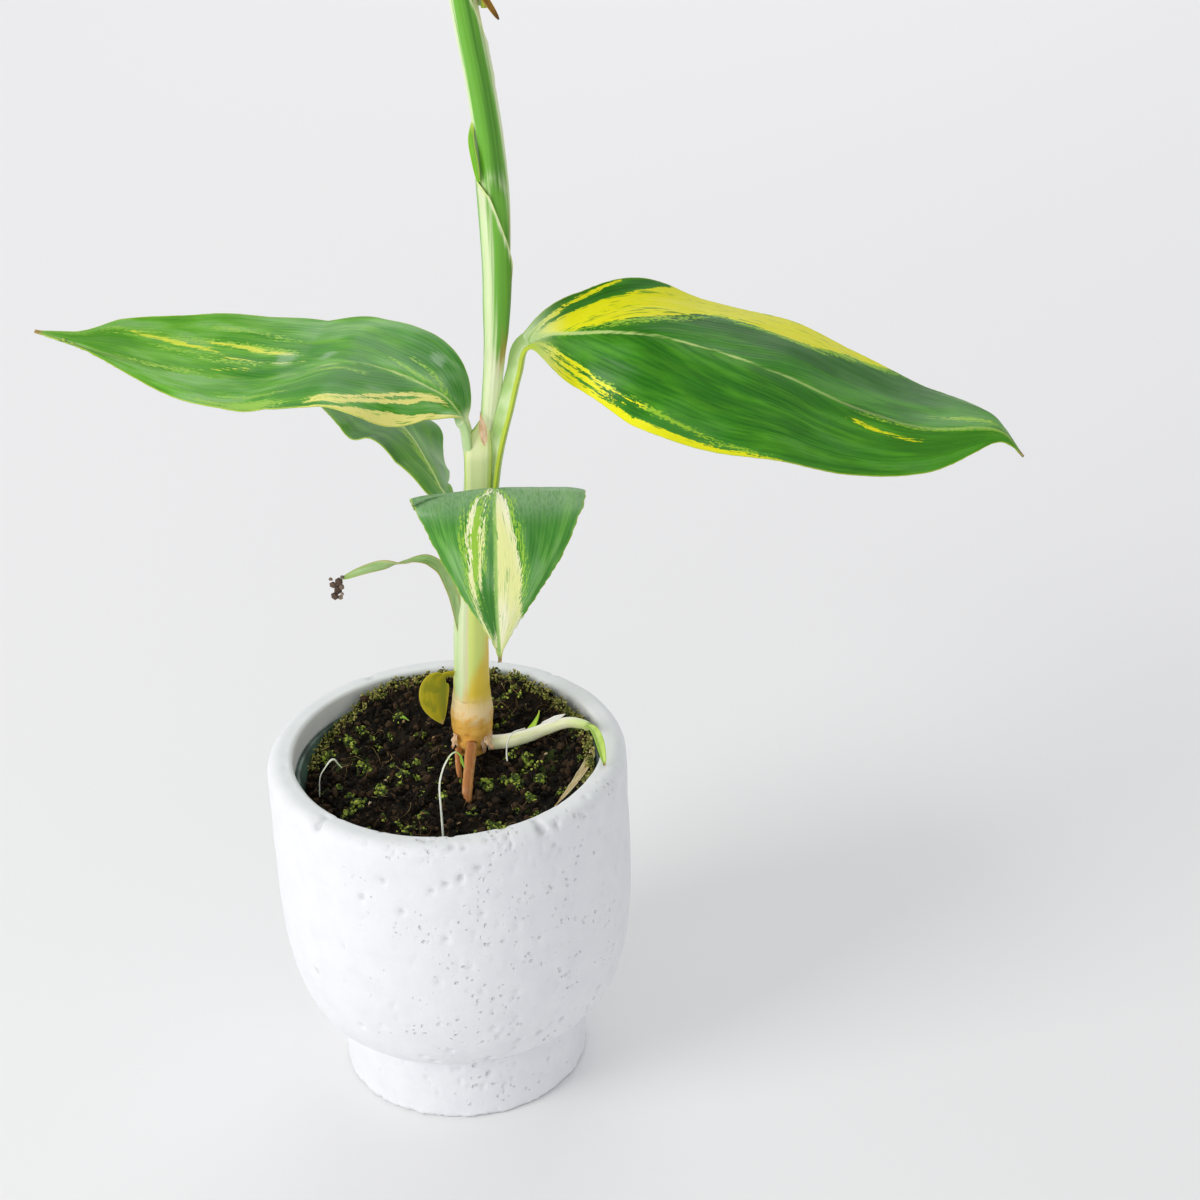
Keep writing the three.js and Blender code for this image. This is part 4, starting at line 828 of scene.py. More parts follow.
scale_skin = tissue_finish("base scale, papery", "#e6c49c", "#d6a678", "#f2e2c8", "#b4764a", 0.75,
                           blotch="#c48a5a", tip_from=0.55)
small_leaf("base_scale_right", scale_skin, "dry_sheath", thickness=0.2)
small_leaf("base_scale_left", scale_skin, "dry_sheath", thickness=0.2)
# More torn scales round the foot of the swollen base: the turn round the stem in degrees from the
# front towards the right, the heights of foot and tip, how far the tip stands off, and the width.
BASE = np.array([8.4, 13, 0])
for k, (turn, high, low, off, wide) in enumerate((
        (-62, 123.5, 117.4, 0.9, 1.3), (-38, 122.5, 117.8, 0.5, 1.0), (38, 122.6, 116.6, 1.1, 1.2),
        (58, 124.0, 118.6, 1.8, 1.0), (82, 124.4, 117.0, 1.0, 1.5), (-92, 124.5, 118.2, 0.8, 1.4),
        (120, 124.0, 117.0, 0.9, 1.6), (165, 124.0, 117.0, 0.7, 1.7), (-140, 124.5, 117.0, 0.8, 1.6))):
    away = np.array([math.sin(math.radians(turn)), -math.cos(math.radians(turn)), 0])
    path = [BASE + away * out + (0, 0, z)
            for out, z in ((6.4, high), (6.2 + 0.5 * off, (high + low) / 2), (5.0 + off, low))]
    half = blade_half(wide, 0.35, 0.5, (-14, 6), -24, (0.4, 2.2, 0.13 * k))
    small_leaf("scale_%d" % (k + 1), scale_skin, "dry_sheath", thickness=0.2, size=(34, 17), spine=path,
               heading=turn - 90, blade_from=0, stalk=0.6, roll=(0, 0), right=half, left=half)
# The white skin that comes off the side shoot, and the dried edge of the left leaf's sheath.
half = blade_half(1, 0.4, 0.5, (0, 0), 0, (0.2, 2, 0))
small_leaf("shoot_skin", tissue_finish(
    "shoot skin, white and papery", "#f0efe6", "#dcdcd4", "#ffffff", "#e2dfd2", 0.5,
), "sheath_tissue", thickness=0.12, heading=15, blade_from=0, stalk=0.5, roll=(-25, -40),
    right=half, left=half, spine=[(31.5, 12.6, 124.2), (35, 12.2, 126.2), (40.2, 11.8, 128.9)])
half = blade_half(1.2, 0.4, 0.9, (0, 0), 0, (0.2, 2, 0))
small_leaf("dried_edge", tissue_finish(
    "dried sheath edge, orange pink", "#ecd0b0", "#e6bc94", "#dba27a", "#cf8f62", 0.6, blotch="#e2b48a",
), "dry_sheath", thickness=0.2, heading=95, blade_from=0, stalk=0.35, roll=(0, -12),
    right=half, left=half, spine=[(18.6, 6.2, 234.5), (18.3, 7.0, 239.4), (17.6, 9.2, 245.2)])


# The stem: an inner stem with a swollen base, and three sheaths rolled round it.
STEM_AXIS = [(7.5, 13, 104), (8.8, 13, 135), (11, 13, 175), (16.3, 13, 215), (21.6, 13, 250),
             (25.3, 13, 290), (25.2, 13, 335), (20, 13, 380), (16, 14, 410)]
STEM_RADII = np.array([
    (104, 3.6), (112, 4.2), (117, 5.2), (121, 6.3), (126, 7.1), (131, 7.3), (136, 6.7), (141, 6.1),
    (150, 5.7), (175, 5.4), (194, 5.2), (209, 4), (222, 3.3), (240, 3), (255, 3.2), (266, 3.5),
    (285, 4), (318, 4.8), (335, 4.6), (350, 4.5), (366, 4.1), (380, 4), (396, 3.4), (410, 2.8),
])


def stem_radius(z):
    """Radius of the inner stem at a height, eased from one row of the table to the next."""
    i = np.clip(np.searchsorted(STEM_RADII[:, 0], z), 1, len(STEM_RADII) - 1)
    (z_low, low), (z_high, high) = (np.moveaxis(STEM_RADII[k], -1, 0) for k in (i - 1, i))
    return low + (high - low) * smoothstep((z - z_low) / (z_high - z_low))


def round_stem(z, turn, radius):
    """Points round the stem's axis: its point at height z, plus the radius in the direction of the
    turn, counted in degrees from the front towards the right."""
    path = spine(STEM_AXIS)[0]
    place = np.stack([np.interp(z, path[:, 2], path[:, k]) for k in range(3)], -1)
    angle = np.radians(turn)
    place[..., 0] += radius * np.sin(angle)
    place[..., 1] -= radius * np.cos(angle)
    place[..., 2] = z
    return place


# Colours round the stem, as stripes of (height in mm, from, to) in degrees from the front towards
# the right: white and green lines, the darkest green, yellow-green skin, golden edges, brown dry
# tissue and a pinkish line. On the upper stem the white strip at the left edge is partly painted
# light, and the darkest green towards the right is partly painted shade.
STEM_STRIPES = dict(
    white=[
        # Partly painted light: the white strip on the upper stem's lit left edge.
        [(330, -95, -66), (370, -95, -62), (390, -95, -52), (410, -95, -40)],
        [(205, -70, 90), (240, -60, 95), (256, -60, 80), (262, -48, 30), (268, -44, 0)],
        [(258, -46, -18), (300, -46, -28), (320, -44, -30)],
        [(135, -44, -26), (160, -42, -26), (200, -46, -12)],
        [(332, 66, 100), (385, 58, 100), (410, 26, 60)],
    ],
    green=[
        [(322, -62, 66), (340, -58, 62), (370, -56, 56), (410, -38, 26)],
        [(262, 4, 60), (268, -8, 90), (300, -20, 90), (318, -26, 60), (328, -30, 10)],
        [(200, -110, -72), (262, -110, -68), (325, -100, -66)],
    ],
    dark=[
        # Partly painted shade: the darkest green on the upper stem's front and right, darker away from the
        # light.
        [(318, -10, 60), (335, -2, 46), (355, 2, 40), (385, -4, 30), (410, -14, 12)],
        [(266, 44, 90), (290, 48, 100), (310, 36, 70)],
    ],
    lemon=[
        [(132, -24, 140), (160, -18, 120), (205, -8, 120), (214, 30, 120)],
        [(132, -100, -60), (150, -96, -66)],
    ],
    golden=[
        [(118, -60, 140), (139, -40, 130), (147, -10, 126), (155, 34, 120), (168, 56, 114), (195, 76, 106)],
        [(118, -110, -50), (139, -110, -60), (147, -104, -76)],
        [(372, 62, 100), (392, 50, 70), (410, 40, 52)],
        [(262, 72, 96), (300, 74, 92), (312, 60, 76)],
    ],
    brown=[
        [(259, 26, 90), (263, 24, 90), (270, 40, 80)],
        [(117, -90, -40), (126, -80, -55)],
        [(117, 30, 80), (124, 45, 75)],
    ],
    pink=[[(132, -20, -6), (160, -21, -12), (190, -22, -14), (212, -24, -18)]],
)


def stem_fields(z, turn, radius):
    """How far inside the nearest stripe of each kind a point lies, in mm, with mm round the stem for
    the way across, plus the way along and round for the streaks."""
    start, length = 100, 320
    u, v, reach = (z - start) / length, turn / 180, radius * math.pi
    fields = {}
    for kind, stripes in STEM_STRIPES.items():
        rows = [[((h - start) / length, low / 180, high / 180) for h, low, high in stripe]
                for stripe in stripes]
        fields[kind] = stripe_field(rows, u, v, reach, length)
    # The peach skin ends in a slanted line above the swollen base.
    fields["peach"] = 138 - 1.4 * np.cos(np.radians(turn - 60)) - z
    veins = np.stack([z * MM, np.radians(turn) * radius * MM, 0 * z], -1)
    # A field of the mesh holds three numbers, so the last of the hues fills a place that isn't read.
    sets = dict(stripes=("white", "green", "dark"), tints=("golden", "brown", "peach"),
                hues=("lemon", "pink", "pink"))
    named = {key: np.stack([fields[kind] for kind in kinds], -1).reshape(-1, 3)
             for key, kinds in sets.items()}
    return {"veins": veins.reshape(-1, 3), **named}


def sheath_finish(name):
    """Living leaf sheath, smooth and waxy: it gives a soft gloss, long green and white lines that
    follow the stem, and a peach skin with brown mottling at the swollen base."""
    look = Finish(name)
    veins = look.field("veins")
    (white, green, dark), (golden, brown, peach), (lemon, pink, _) = (
        look.parts(key) for key in ("stripes", "tints", "hues"))
    # Lines 0.8 mm wide and about 40 mm long, and finer ones.
    drawn_out = look.drawn(veins, 0.02, 1, 1)
    streak, fine = look.noise(drawn_out, 1200, 2), look.noise(drawn_out, 3600, 2)
    blot, cloud = look.noise(veins, 420, 4), look.noise(veins, 90, 2)
    wobble = look.ramp(streak, 0.3, 0.7, -0.9, 0.9)
    patchy = look.ramp(blot, 0.36, 0.62, -1.6, 1.4)
    # Orange-brown mottling in spots of 1 to 3 mm, more towards the foot of the peach skin.
    deeper = look.join("ADD", blot, look.ramp(peach, 3, 19, -0.1, 0.14))
    skin = look.ramp(peach, 2, 7)
    colour = look.layers(
        linear("#d5e8b0"),
        (look.share(streak, 0.4, 0.62, 0, 0.55), "#bcdc8e"),
        (look.share(fine, 0.55, 0.7, 0, 0.35), "#eef5d8"),
        *((look.share(look.join("ADD", field, uneven), low, high, 0, most), tone)
          for field, uneven, low, high, most, tone in (
            (lemon, wobble, -0.8, 1.6, 0.85, "#e4f07c"),
            (white, wobble, -0.9, 1.6, 0.62, "#f3f7d2"),
            (green, wobble, -0.8, 1.4, 0.92, "#60ac0c"),
            (dark, wobble, -1.2, 2.2, 0.8, "#42801a"),
            (pink, wobble, -0.6, 0.6, 0.6, "#f2ddcb"),
            (golden, wobble, -1.0, 4.2, 0.85, "#efc936"),
            (peach, wobble, -3.4, 3.0, 0.9, "#ffe0ac"),
            (peach, patchy, 3.0, 9.0, 0.85, "#f6bf4a"),
            (brown, wobble, -1.5, 2.6, 0.8, "#c98442"))),
        *((look.join("MULTIPLY", skin, look.ramp(deeper, low, high, 0, most)), tone)
          for low, high, most, tone in ((0.48, 0.6, 0.35, "#e8a636"), (0.62, 0.7, 0.4, "#b8742c"))),
    )
    return look.done(colour, look.ramp(cloud, 0.35, 0.65, 0.32, 0.45), (fine, 0.5, 0.00008),
                     Specular_IOR_Level=0.4, Subsurface_Weight=0.2, Subsurface_Radius=(0.6, 1.0, 0.3),
                     Subsurface_Scale=0.002)


sheath_skin = sheath_finish("rolled leaf sheath, waxy")
# The turns, in degrees, at which a ring round the stem has its points.
TURNS = np.linspace(-180, 180, 81)[:-1]


def stem_piece(name, rings, fields):
    """A closed skin through rings round the stem, with the fields of the sheath finish."""
    settle(closed_skin(name, rings, sheath_skin, fields), "sheath_tissue", "pseudostem")


def stem_core():
    """The inner stem: rings of its radius, with faint ribs along it, a ring at the node and a few
    lumps on the swollen base."""
    z = np.concatenate([np.linspace(104, 150, 90), np.linspace(151, 410, 190)])
    heights, turn = np.meshgrid(z, TURNS, indexing="ij")
    radius = stem_radius(heights)
    radius = radius + 0.05 * np.sin(np.radians(turn) * 14) * smoothstep(heights, 135, 150)
    radius = radius - 0.2 * np.exp(-(((heights - 138 + 1.4 * np.cos(np.radians(turn - 60))) / 0.8) ** 2))
    radius = radius + 0.4 * hills(turn * 0.12, heights, 4, 11) * (1 - smoothstep(heights, 126, 136))
    stem_piece("stem_core", round_stem(heights, turn, radius), stem_fields(heights, turn, radius))


def sheath(name, foot, edge_line, over, flare=0.3):
    """One sheath: its outside climbs from its foot to a slanted edge, whose height at each turn comes
    from a line of (turn, height), and the inside goes back down a little way under it. It starts
    just inside the stem, so that no foot shows, and its edge stands a little off."""
    turns, heights = np.array(edge_line, float).T
    edge = np.interp(TURNS, turns, heights, period=360)
    outer_rings, inner_rings = 120, 11
    climb = np.linspace(0, 1, outer_rings)[:, None] ** 0.8
    back = np.linspace(0, 1, inner_rings + 1)[1:, None]
    z = np.vstack([foot + (edge - foot) * climb, edge - 9 * back])
    all_turns = np.broadcast_to(TURNS, z.shape)
    near_edge = np.exp(-np.maximum(0, edge - z) / 5.0)
    climbed = np.vstack([climb, np.ones((inner_rings, 1))])
    off = over * smoothstep(climbed, 0, 0.3) - 0.3 * (z < foot + 0.5)
    wall = np.vstack([np.zeros((outer_rings, 1)), 0.3 + 0.1 * back])
    radius = stem_radius(z) + off + flare * near_edge - wall + 0.05 * np.sin(np.radians(all_turns) * 11)
    fields = stem_fields(z, all_turns, radius)
    # The thin edge is yellow green, and a pale band lies under it.
    below = np.maximum(0, edge - z)
    hues = fields["hues"].reshape(*z.shape, 3)
    hues[..., 0] = np.maximum(hues[..., 0], 1.6 - below * 1.3)
    stripes = fields["stripes"].reshape(*z.shape, 3)
    stripes[..., 1:] = np.minimum(stripes[..., 1:], (below - 1.6)[..., None] * 0.6)
    stripes[..., 0] = np.maximum(stripes[..., 0], 0.9 - np.abs(below - 2.6) * 0.5)
    stem_piece(name, round_stem(z, all_turns, radius), fields)


def joined_petiole():
    """The left leaf's petiole where it is grown round the stem: an oval skin from behind the front
    leaf up to the fork, closing in a wedge between the petiole and the stem."""
    z = np.linspace(198, 246, 100)
    heights, turn = np.meshgrid(z, TURNS, indexing="ij")
    left = np.interp(heights, (198, 213, 222, 231, 236, 238.5, 241, 246),
                     (9.4, 11.0, 11.4, 11.8, 12.8, 15.4, 17.2, 19.2))
    right = np.interp(heights, (198, 217, 230, 240, 246), (16.8, 19.6, 20.6, 20.8, 20.6))
    middle, half = (left + right) / 2, (right - left) / 2
    depth = 3.5 - 2.9 * smoothstep(heights, 229, 243)
    deep = 9.0 + 2.9 * smoothstep(heights, 229, 243)
    angle = np.radians(turn)
    # A boxy oval: the sine and cosine to the power 0.6.
    across = np.sign(np.sin(angle)) * np.abs(np.sin(angle)) ** 0.6
    front = np.sign(np.cos(angle)) * np.abs(np.cos(angle)) ** 0.6
    depth = depth + 0.05 * np.sin(angle * 13)
    rings = np.stack([middle + half * across, deep - depth * front, heights], -1)
    fields = stem_fields(heights, turn, half)
    stripes = fields["stripes"].reshape(*heights.shape, 3)
    # The front is whitish and the hue lemon all over: partly the petiole's own cream colour, partly painted
    # light against the shade of the leaves above.
    stripes[..., 0] = 2.6 - np.abs(turn - 5) / 22
    stripes[..., 1] = (-72 - turn) / 14
    stripes[..., 2] = FAR_OUTSIDE
    tints = fields["tints"].reshape(*heights.shape, 3)
    tints[:] = FAR_OUTSIDE
    tints[..., 1] = -0.6 - np.abs(turn - 50) / 7
    # Lemon all over, partly painted light against the shade of the leaves above.
    fields["hues"][:] = (1.2, FAR_OUTSIDE, FAR_OUTSIDE)
    stem_piece("joined_petiole", rings, fields)


stem_core()
sheath("sheath_low", 137, [(-70, 209), (20, 203), (110, 195), (200, 203)], 0.3, 0.2)
sheath("sheath_middle", 262, [
    (-140, 318), (-110, 326), (-85, 326), (-60, 324), (-38, 322), (-12, 319), (0, 315.4), (12, 311.5),
    (30, 306), (53, 300), (72, 295.5), (110, 290), (150, 296), (190, 309)], 0.5, 0.45)
sheath("sheath_top", 352, [
    (-90, 404), (-30, 400), (30, 382), (75, 367), (110, 366), (180, 380), (220, 396)], 0.4)
joined_petiole()


def rod(name, axis, radii, finish, slot, *nodes, sides=28, steps=70, lumps=0.0, seed=3):
    """A rod along a smooth path: rings of the eased radius, roughened by small hills."""
    path, arc = spine(axis)
    u = np.linspace(0, 1, steps)
    middle, heading = on_path(path, arc, u * arc[-1])
    side = unit(np.cross(heading, (0.02, 0.2, 1.0)))
    top = np.cross(side, heading)
    angle = np.linspace(0, 2 * np.pi, sides, endpoint=False)
    u_grid, angles = np.meshgrid(u, angle, indexing="ij")
    radius = along(radii, u_grid) * (1 + 0.02 * np.sin(angles * 5))
    across = np.cos(angles) * 3 + np.sin(angles) * 2 + 20
    radius = radius + lumps * hills(u_grid * arc[-1] + 50, across, 1.3, seed)
    ring = np.cos(angles)[..., None] * side[:, None] + np.sin(angles)[..., None] * top[:, None]
    rings = middle[:, None] + radius[..., None] * ring
    veins = np.stack([u_grid * arc[-1] * MM, angles * radius * MM, 0 * u_grid], -1).reshape(-1, 3)
    place = np.stack([u_grid, np.sin(angles), np.cos(angles)], -1).reshape(-1, 3)
    settle(closed_skin(name + "_skin", rings, finish, {"veins": veins, "place": place}), slot, *nodes)


SHOOT_AXIS = [(13.5, 11.9, 118.6), (20, 11.4, 119.3), (26.6, 11.6, 120.8), (34, 12.2, 123.2),
              (41, 10.6, 126.2), (46.4, 5.4, 128.4), (47.6, 2.8, 129.2)]
rod("side_shoot", SHOOT_AXIS, [2.5, 2.5, 2.3, 2.1, 1.9, 1.8, 1.5], tissue_finish(
    "side shoot, cream white", "#f0f1cf", "#e4eaa8", "#f9f8ea", "#cde28a", 0.34, soft=0.2, tip_from=0.66,
), "sheath_tissue", "side_shoot", steps=120)
rod("leaf_spear", [(15.9, 14.1, 404), (12, 15, 440), (7, 16, 480), (4, 16.5, 518)],
    [2.4, 3.2, 3.9, 4.2, 4, 3.2, 2, 0.6], tissue_finish(
        "rolled young leaf, light green", "#8cc044", "#b5d878", "#6ea82e", "#c9dc86", 0.35, blotch="#77ae34",
    ), "leaf_tissue", "leaf_spear", steps=140)
root_skin = tissue_finish("root skin, rough and corky", "#c4854a", "#d69c58", "#a8683a", "#d0924a", 0.7,
                          soft=0.05, blotch="#dcb48c")
rod("root_front", [(8, 6.4, 122.4), (8, 5.2, 121.4), (7.3, -3, 118.6), (6.7, -10.6, 116), (6.4, -13.2, 112),
                   (6.3, -14.0, 107)],
    [1.9, 1.9, 1.85, 1.8, 1.7, 1.5], root_skin, "root_bark", "root_front", lumps=0.12)
rod("root_back", [(3.4, 8.6, 118.4), (3.4, 7.2, 117.9), (3.3, 3.6, 117.2), (3.6, -0.6, 115.6),
                  (3.7, -2.6, 112), (3.7, -3, 109.5)],
    [1.2, 1.1, 1, 0.9, 0.8], root_skin, "root_bark", "root_back", lumps=0.1, seed=4)


# Soil, moss, crumbs, seeds and seedlings.
SOIL_EDGE = 49.6
SOIL_SIDES = 230
STEM_X, STEM_Y = 7.5, 13


def from_stem(x, y):
    """Distance from the foot of the stem, seen from above."""
    return np.hypot(x - STEM_X, y - STEM_Y)


def soil_height(x, y):
    """Height of the soil: a slope that rises to the back, a heap against the back wall, low waves
    and hills of three sizes. It sinks by 3 mm at the left wall and is heaped up at the right."""
    slope = 116 + 0.12 * (y - STEM_Y) + 0.03 * (x - STEM_X)
    slope = slope + 4.5 * smoothstep(y, 20, 48)
    out, angle = np.hypot(x, y), np.degrees(np.arctan2(y, x))
    left, right = (np.exp(-(((angle - at + 180) % 360 - 180) / wide) ** 2)
                   for at, wide in ((190, 48), (6, 42)))
    slope = slope - 3.2 * left * smoothstep(out, 40, 48.5) + 3.4 * right * smoothstep(out, 37, 47)
    clear = smoothstep(from_stem(x, y), 6, 12)
    waves = np.sin(0.42 * x + 1) * np.cos(0.37 * y) + 0.6 * np.sin(0.9 * x - 0.7 * y)
    rough = 0.8 * hills(x + 200, y + 200, 3.1, 21) + 0.6 * hills(x + 200, y + 200, 1.5, 22)
    return slope + clear * (0.7 * waves + rough) + 0.3 * hills(x + 200, y + 200, 0.8, 23)


def soil_body(finish):
    """Soil: rings out from the middle whose height is the soil's, then a wall and a flat base."""
    angle = np.linspace(0, 2 * np.pi, SOIL_SIDES, endpoint=False)
    share = np.linspace(0.004, 1, 100)
    radii, angles = np.meshgrid(share * SOIL_EDGE, angle, indexing="ij")
    x, y = radii * np.cos(angles), radii * np.sin(angles)
    top = np.stack([x, y, soil_height(x, y)], -1)
    low = [np.stack([r * np.cos(angle), r * np.sin(angle), np.full(SOIL_SIDES, z)], -1)
           for r, z in ((47.5, 100), (41, 41), (20, 41))]
    return closed_skin("soil_bed", np.concatenate([top, np.array(low)])[:, ::-1], finish)


def peat_finish(name):
    """Moist peat and bark crumbs: nearly black, with brown grains under a millimetre, a few green
    specks, and no gloss except on a few wet faces."""
    look = Finish(name)
    place = look.place()
    grain = look.noise(place, 900, 4)
    colour = look.layers(
        linear("#0b0906"),
        (look.share(look.noise(place, 160, 3), 0.42, 0.62, 0, 0.9), "#1e160e"),
        (look.share(grain, 0.56, 0.68, 0, 0.7), "#3a2c1e"),
        (look.share(look.noise(place, 75, 5, Roughness=0.7), 0.62, 0.68, 0, 0.75), "#39481a"),
    )
    return look.done(colour, 0.85, (grain, 1, 0.0005), Specular_IOR_Level=0.15)


def lump_shape():
    """A ball of 12 points and 20 faces, an icosahedron."""
    g = (1 + math.sqrt(5)) / 2
    points = [(-1, g, 0), (1, g, 0), (-1, -g, 0), (1, -g, 0), (0, -1, g), (0, 1, g), (0, -1, -g), (0, 1, -g),
              (g, 0, -1), (g, 0, 1), (-g, 0, -1), (-g, 0, 1)]
    faces = [(0, 11, 5), (0, 5, 1), (0, 1, 7), (0, 7, 10), (0, 10, 11), (1, 5, 9), (5, 11, 4),
             (11, 10, 2), (10, 7, 6), (7, 1, 8), (3, 9, 4), (3, 4, 2), (3, 2, 6), (3, 6, 8), (3, 8, 9),
             (4, 9, 5), (2, 4, 11), (6, 2, 10), (8, 6, 7), (9, 8, 1)]
    return unit(np.array(points, float)), np.array(faces)


def crumbs(name, finish, at, size, seed, rough=0.3, flat=0.75, half=None):
    """Many small lumps as one piece. Each is the ball shape, stretched by its own three sizes, its
    points pushed in and out at random, turned at random and set at its own place. Lumps whose
    half-sizes are given in mm aren't turned."""
    ball, faces = lump_shape()
    random = np.random.default_rng(seed)
    count = len(at)
    stretch = random.uniform(0.7, 1.3, (count, 3)) * (1, 1, flat)
    if half is not None:
        stretch = np.asarray(half, float)
        size = np.ones(count)
    turn = np.linalg.qr(random.normal(size=(count, 3, 3)))[0]
    turn[:, :, 0] *= np.sign(np.linalg.det(turn))[:, None]
    if half is not None:
        turn = np.broadcast_to(np.eye(3), turn.shape)
    dent = 1 + rough * random.uniform(-1, 1, (count, len(ball), 1))
    shapes = np.einsum("nij,nkj->nki", turn, ball[None] * dent * stretch[:, None])
    points = at[:, None] + shapes * size[:, None, None]
    every = faces[None] + (np.arange(count) * len(ball))[:, None, None]
    tone = np.repeat(random.uniform(0, 1, (count, 3)), len(ball), 0)
    return mesh_piece(name, points.reshape(-1, 3), [every.reshape(-1, 3)], finish, {"tone": tone},
                      smooth=False)


def crumb_finish(name, tones, roughness, bump_mm=0.3, scale=1400, grain_shade=0.55, shine=0.5):
    """Loose grains, each with its own tone between the given colours, rough all over, with
    near-black blotches of painted shade among them.
    """
    look = Finish(name)
    tone = look.parts("tone")
    grain = look.noise(look.place(), scale, 3)
    colour = look.layers(
        linear(tones[0]),
        *((look.ramp(tone[k % 3], 0.45, 0.75), hex_colour) for k, hex_colour in enumerate(tones[1:])),
        # Painted shade: near-black blotches among the grains, their strength given after the noise scale.
        (look.ramp(grain, 0.35, 0.6, grain_shade, 0), "#15100a"))
    return look.done(colour, roughness, (grain, 1, bump_mm * MM), Specular_IOR_Level=shine)


def scatter(count, seed, inner=0.0, outer=48.8, low=-180.0, high=180.0):
    """Random places on the soil between two distances from the pot's axis and two directions, in
    degrees from +X towards +Y, as many to each square millimetre, clear of the stem."""
    random = np.random.default_rng(seed)
    r = np.sqrt(random.uniform(inner**2, outer**2, count))
    a = np.radians(random.uniform(low, high, count))
    x, y = r * np.cos(a), r * np.sin(a)
    free = from_stem(x, y) > 8
    x, y = x[free], y[free]
    return np.stack([x, y, soil_height(x, y)], 1), random


def clumps(at, each, spread, low, high, seed):
    """Places and sizes of lumps that grow in clumps: `each` lumps round every given place, thinner
    and lower towards the clump's edge."""
    random = np.random.default_rng(seed)
    away = random.normal(0, spread, (len(at), each, 3))
    away = away * random.uniform(0.5, 1.3, (len(at), 1, 1)) * (1, 1, 0)
    places = (np.asarray(at, float)[:, None] + away).reshape(-1, 3)
    heap = 1.6 * np.exp(-(np.linalg.norm(away, axis=-1) / spread) ** 2).ravel()
    inside = np.hypot(places[:, 0], places[:, 1]) < SOIL_EDGE - 0.3
    clear = from_stem(places[:, 0], places[:, 1]) > 7.2
    places[:, 2] = soil_height(places[:, 0], places[:, 1]) + heap * random.uniform(0.2, 1, len(heap))
    keep = inside & clear
    return places[keep], random.uniform(low, high, keep.sum())


def fibres(name, finish, at, seed, long=(3, 9), thick=0.11):
    """Fine fibres as one piece: each is a three-sided thread of six rings, bent sideways and
    upwards, that lies on the soil with its middle at its own place."""
    random = np.random.default_rng(seed)
    count, steps = len(at), 6
    t = np.linspace(0, 1, steps)[None, :, None]
    turn = random.uniform(0, 2 * np.pi, (count, 1, 1))
    ahead = np.concatenate([np.cos(turn), np.sin(turn), 0 * turn], -1)
    aside = np.concatenate([-np.sin(turn), np.cos(turn), 0 * turn], -1)
    length = random.uniform(*long, (count, 1, 1))
    bend = random.uniform(-0.4, 0.4, (count, 1, 1))
    line = at[:, None] + length * (ahead * (t - 0.5) + aside * bend * np.sin(t * 3))
    arch = random.uniform(0.2, 1.6, (count, 1))
    line[..., 2] = soil_height(line[..., 0], line[..., 1]) + 0.25 + arch * np.sin(t[..., 0] * np.pi)
    around = np.linspace(0, 2 * np.pi, 3, endpoint=False)[None, None, :, None]
    radius = thick * np.sin(np.pi * (0.08 + 0.84 * t))[..., None]
    round_it = np.cos(around) * aside[:, :, None] + np.sin(around) * np.array((0, 0, 1.0))
    rings = line[:, :, None] + radius * round_it
    i, j = np.meshgrid(np.arange(steps - 1), np.arange(3), indexing="ij")
    k = (j + 1) % 3
    skin = np.stack([i * 3 + j, (i + 1) * 3 + j, (i + 1) * 3 + k, i * 3 + k], -1).reshape(-1, 4)
    ends = np.array([(0, 1, 2), (steps * 3 - 1, steps * 3 - 2, steps * 3 - 3)])
    every = (np.arange(count) * steps * 3)[:, None, None]
    tone = np.repeat(random.uniform(0, 1, (count, 3)), steps * 3, 0)
    faces = [(skin[None] + every).reshape(-1, 4), (ends[None] + every).reshape(-1, 3)]
    return mesh_piece(name, rings.reshape(-1, 3), faces, finish, {"tone": tone})


def on_soil(*spots, above=0.0):
    """Places on the soil under the given x and y."""
    spots = np.array(spots, float)
    return np.column_stack([spots, soil_height(spots[:, 0], spots[:, 1]) + above])


settle(soil_body(peat_finish("moist peat soil")), "potting_soil", "soil")
bark = crumb_finish("bark crumbs, damp", ("#0b0805", "#15100b", "#251c13", "#0f0b08", "#4a3826"), 0.75,
                    shine=0.15)
moss = crumb_finish("moss lumps, olive green", ("#4c6018", "#8ba62c", "#c9d658", "#33441a"), 0.95, 0.25,
                    2500, 0.35)
wall_moss = crumb_finish("moss at the wall, yellow olive", ("#6f7a24", "#a5a548", "#4c5a1a", "#c2b86a"), 0.95)
fibre = crumb_finish("coir fibres, golden brown", ("#8a6a34", "#5b4424", "#b59a5c", "#3a2c18"), 0.7, 0.05)
husk = crumb_finish("seed husks, beige", ("#c9a877", "#b58d5a", "#dcc39a"), 0.6, 0.1)
dry_soil = crumb_finish("soil crumbs, dry", ("#86705f", "#5c493d", "#ab9884"), 0.95, 0.35, 2200, 0.25)
places, random = scatter(3000, 31)
sizes = random.uniform(0.3, 1.0, len(places)) ** 3 * 1.3 + 0.25
settle(crumbs("bark_crumbs", bark, places + np.stack([0 * sizes, 0 * sizes, sizes * 0.3], 1), sizes, 32),
       "potting_soil")
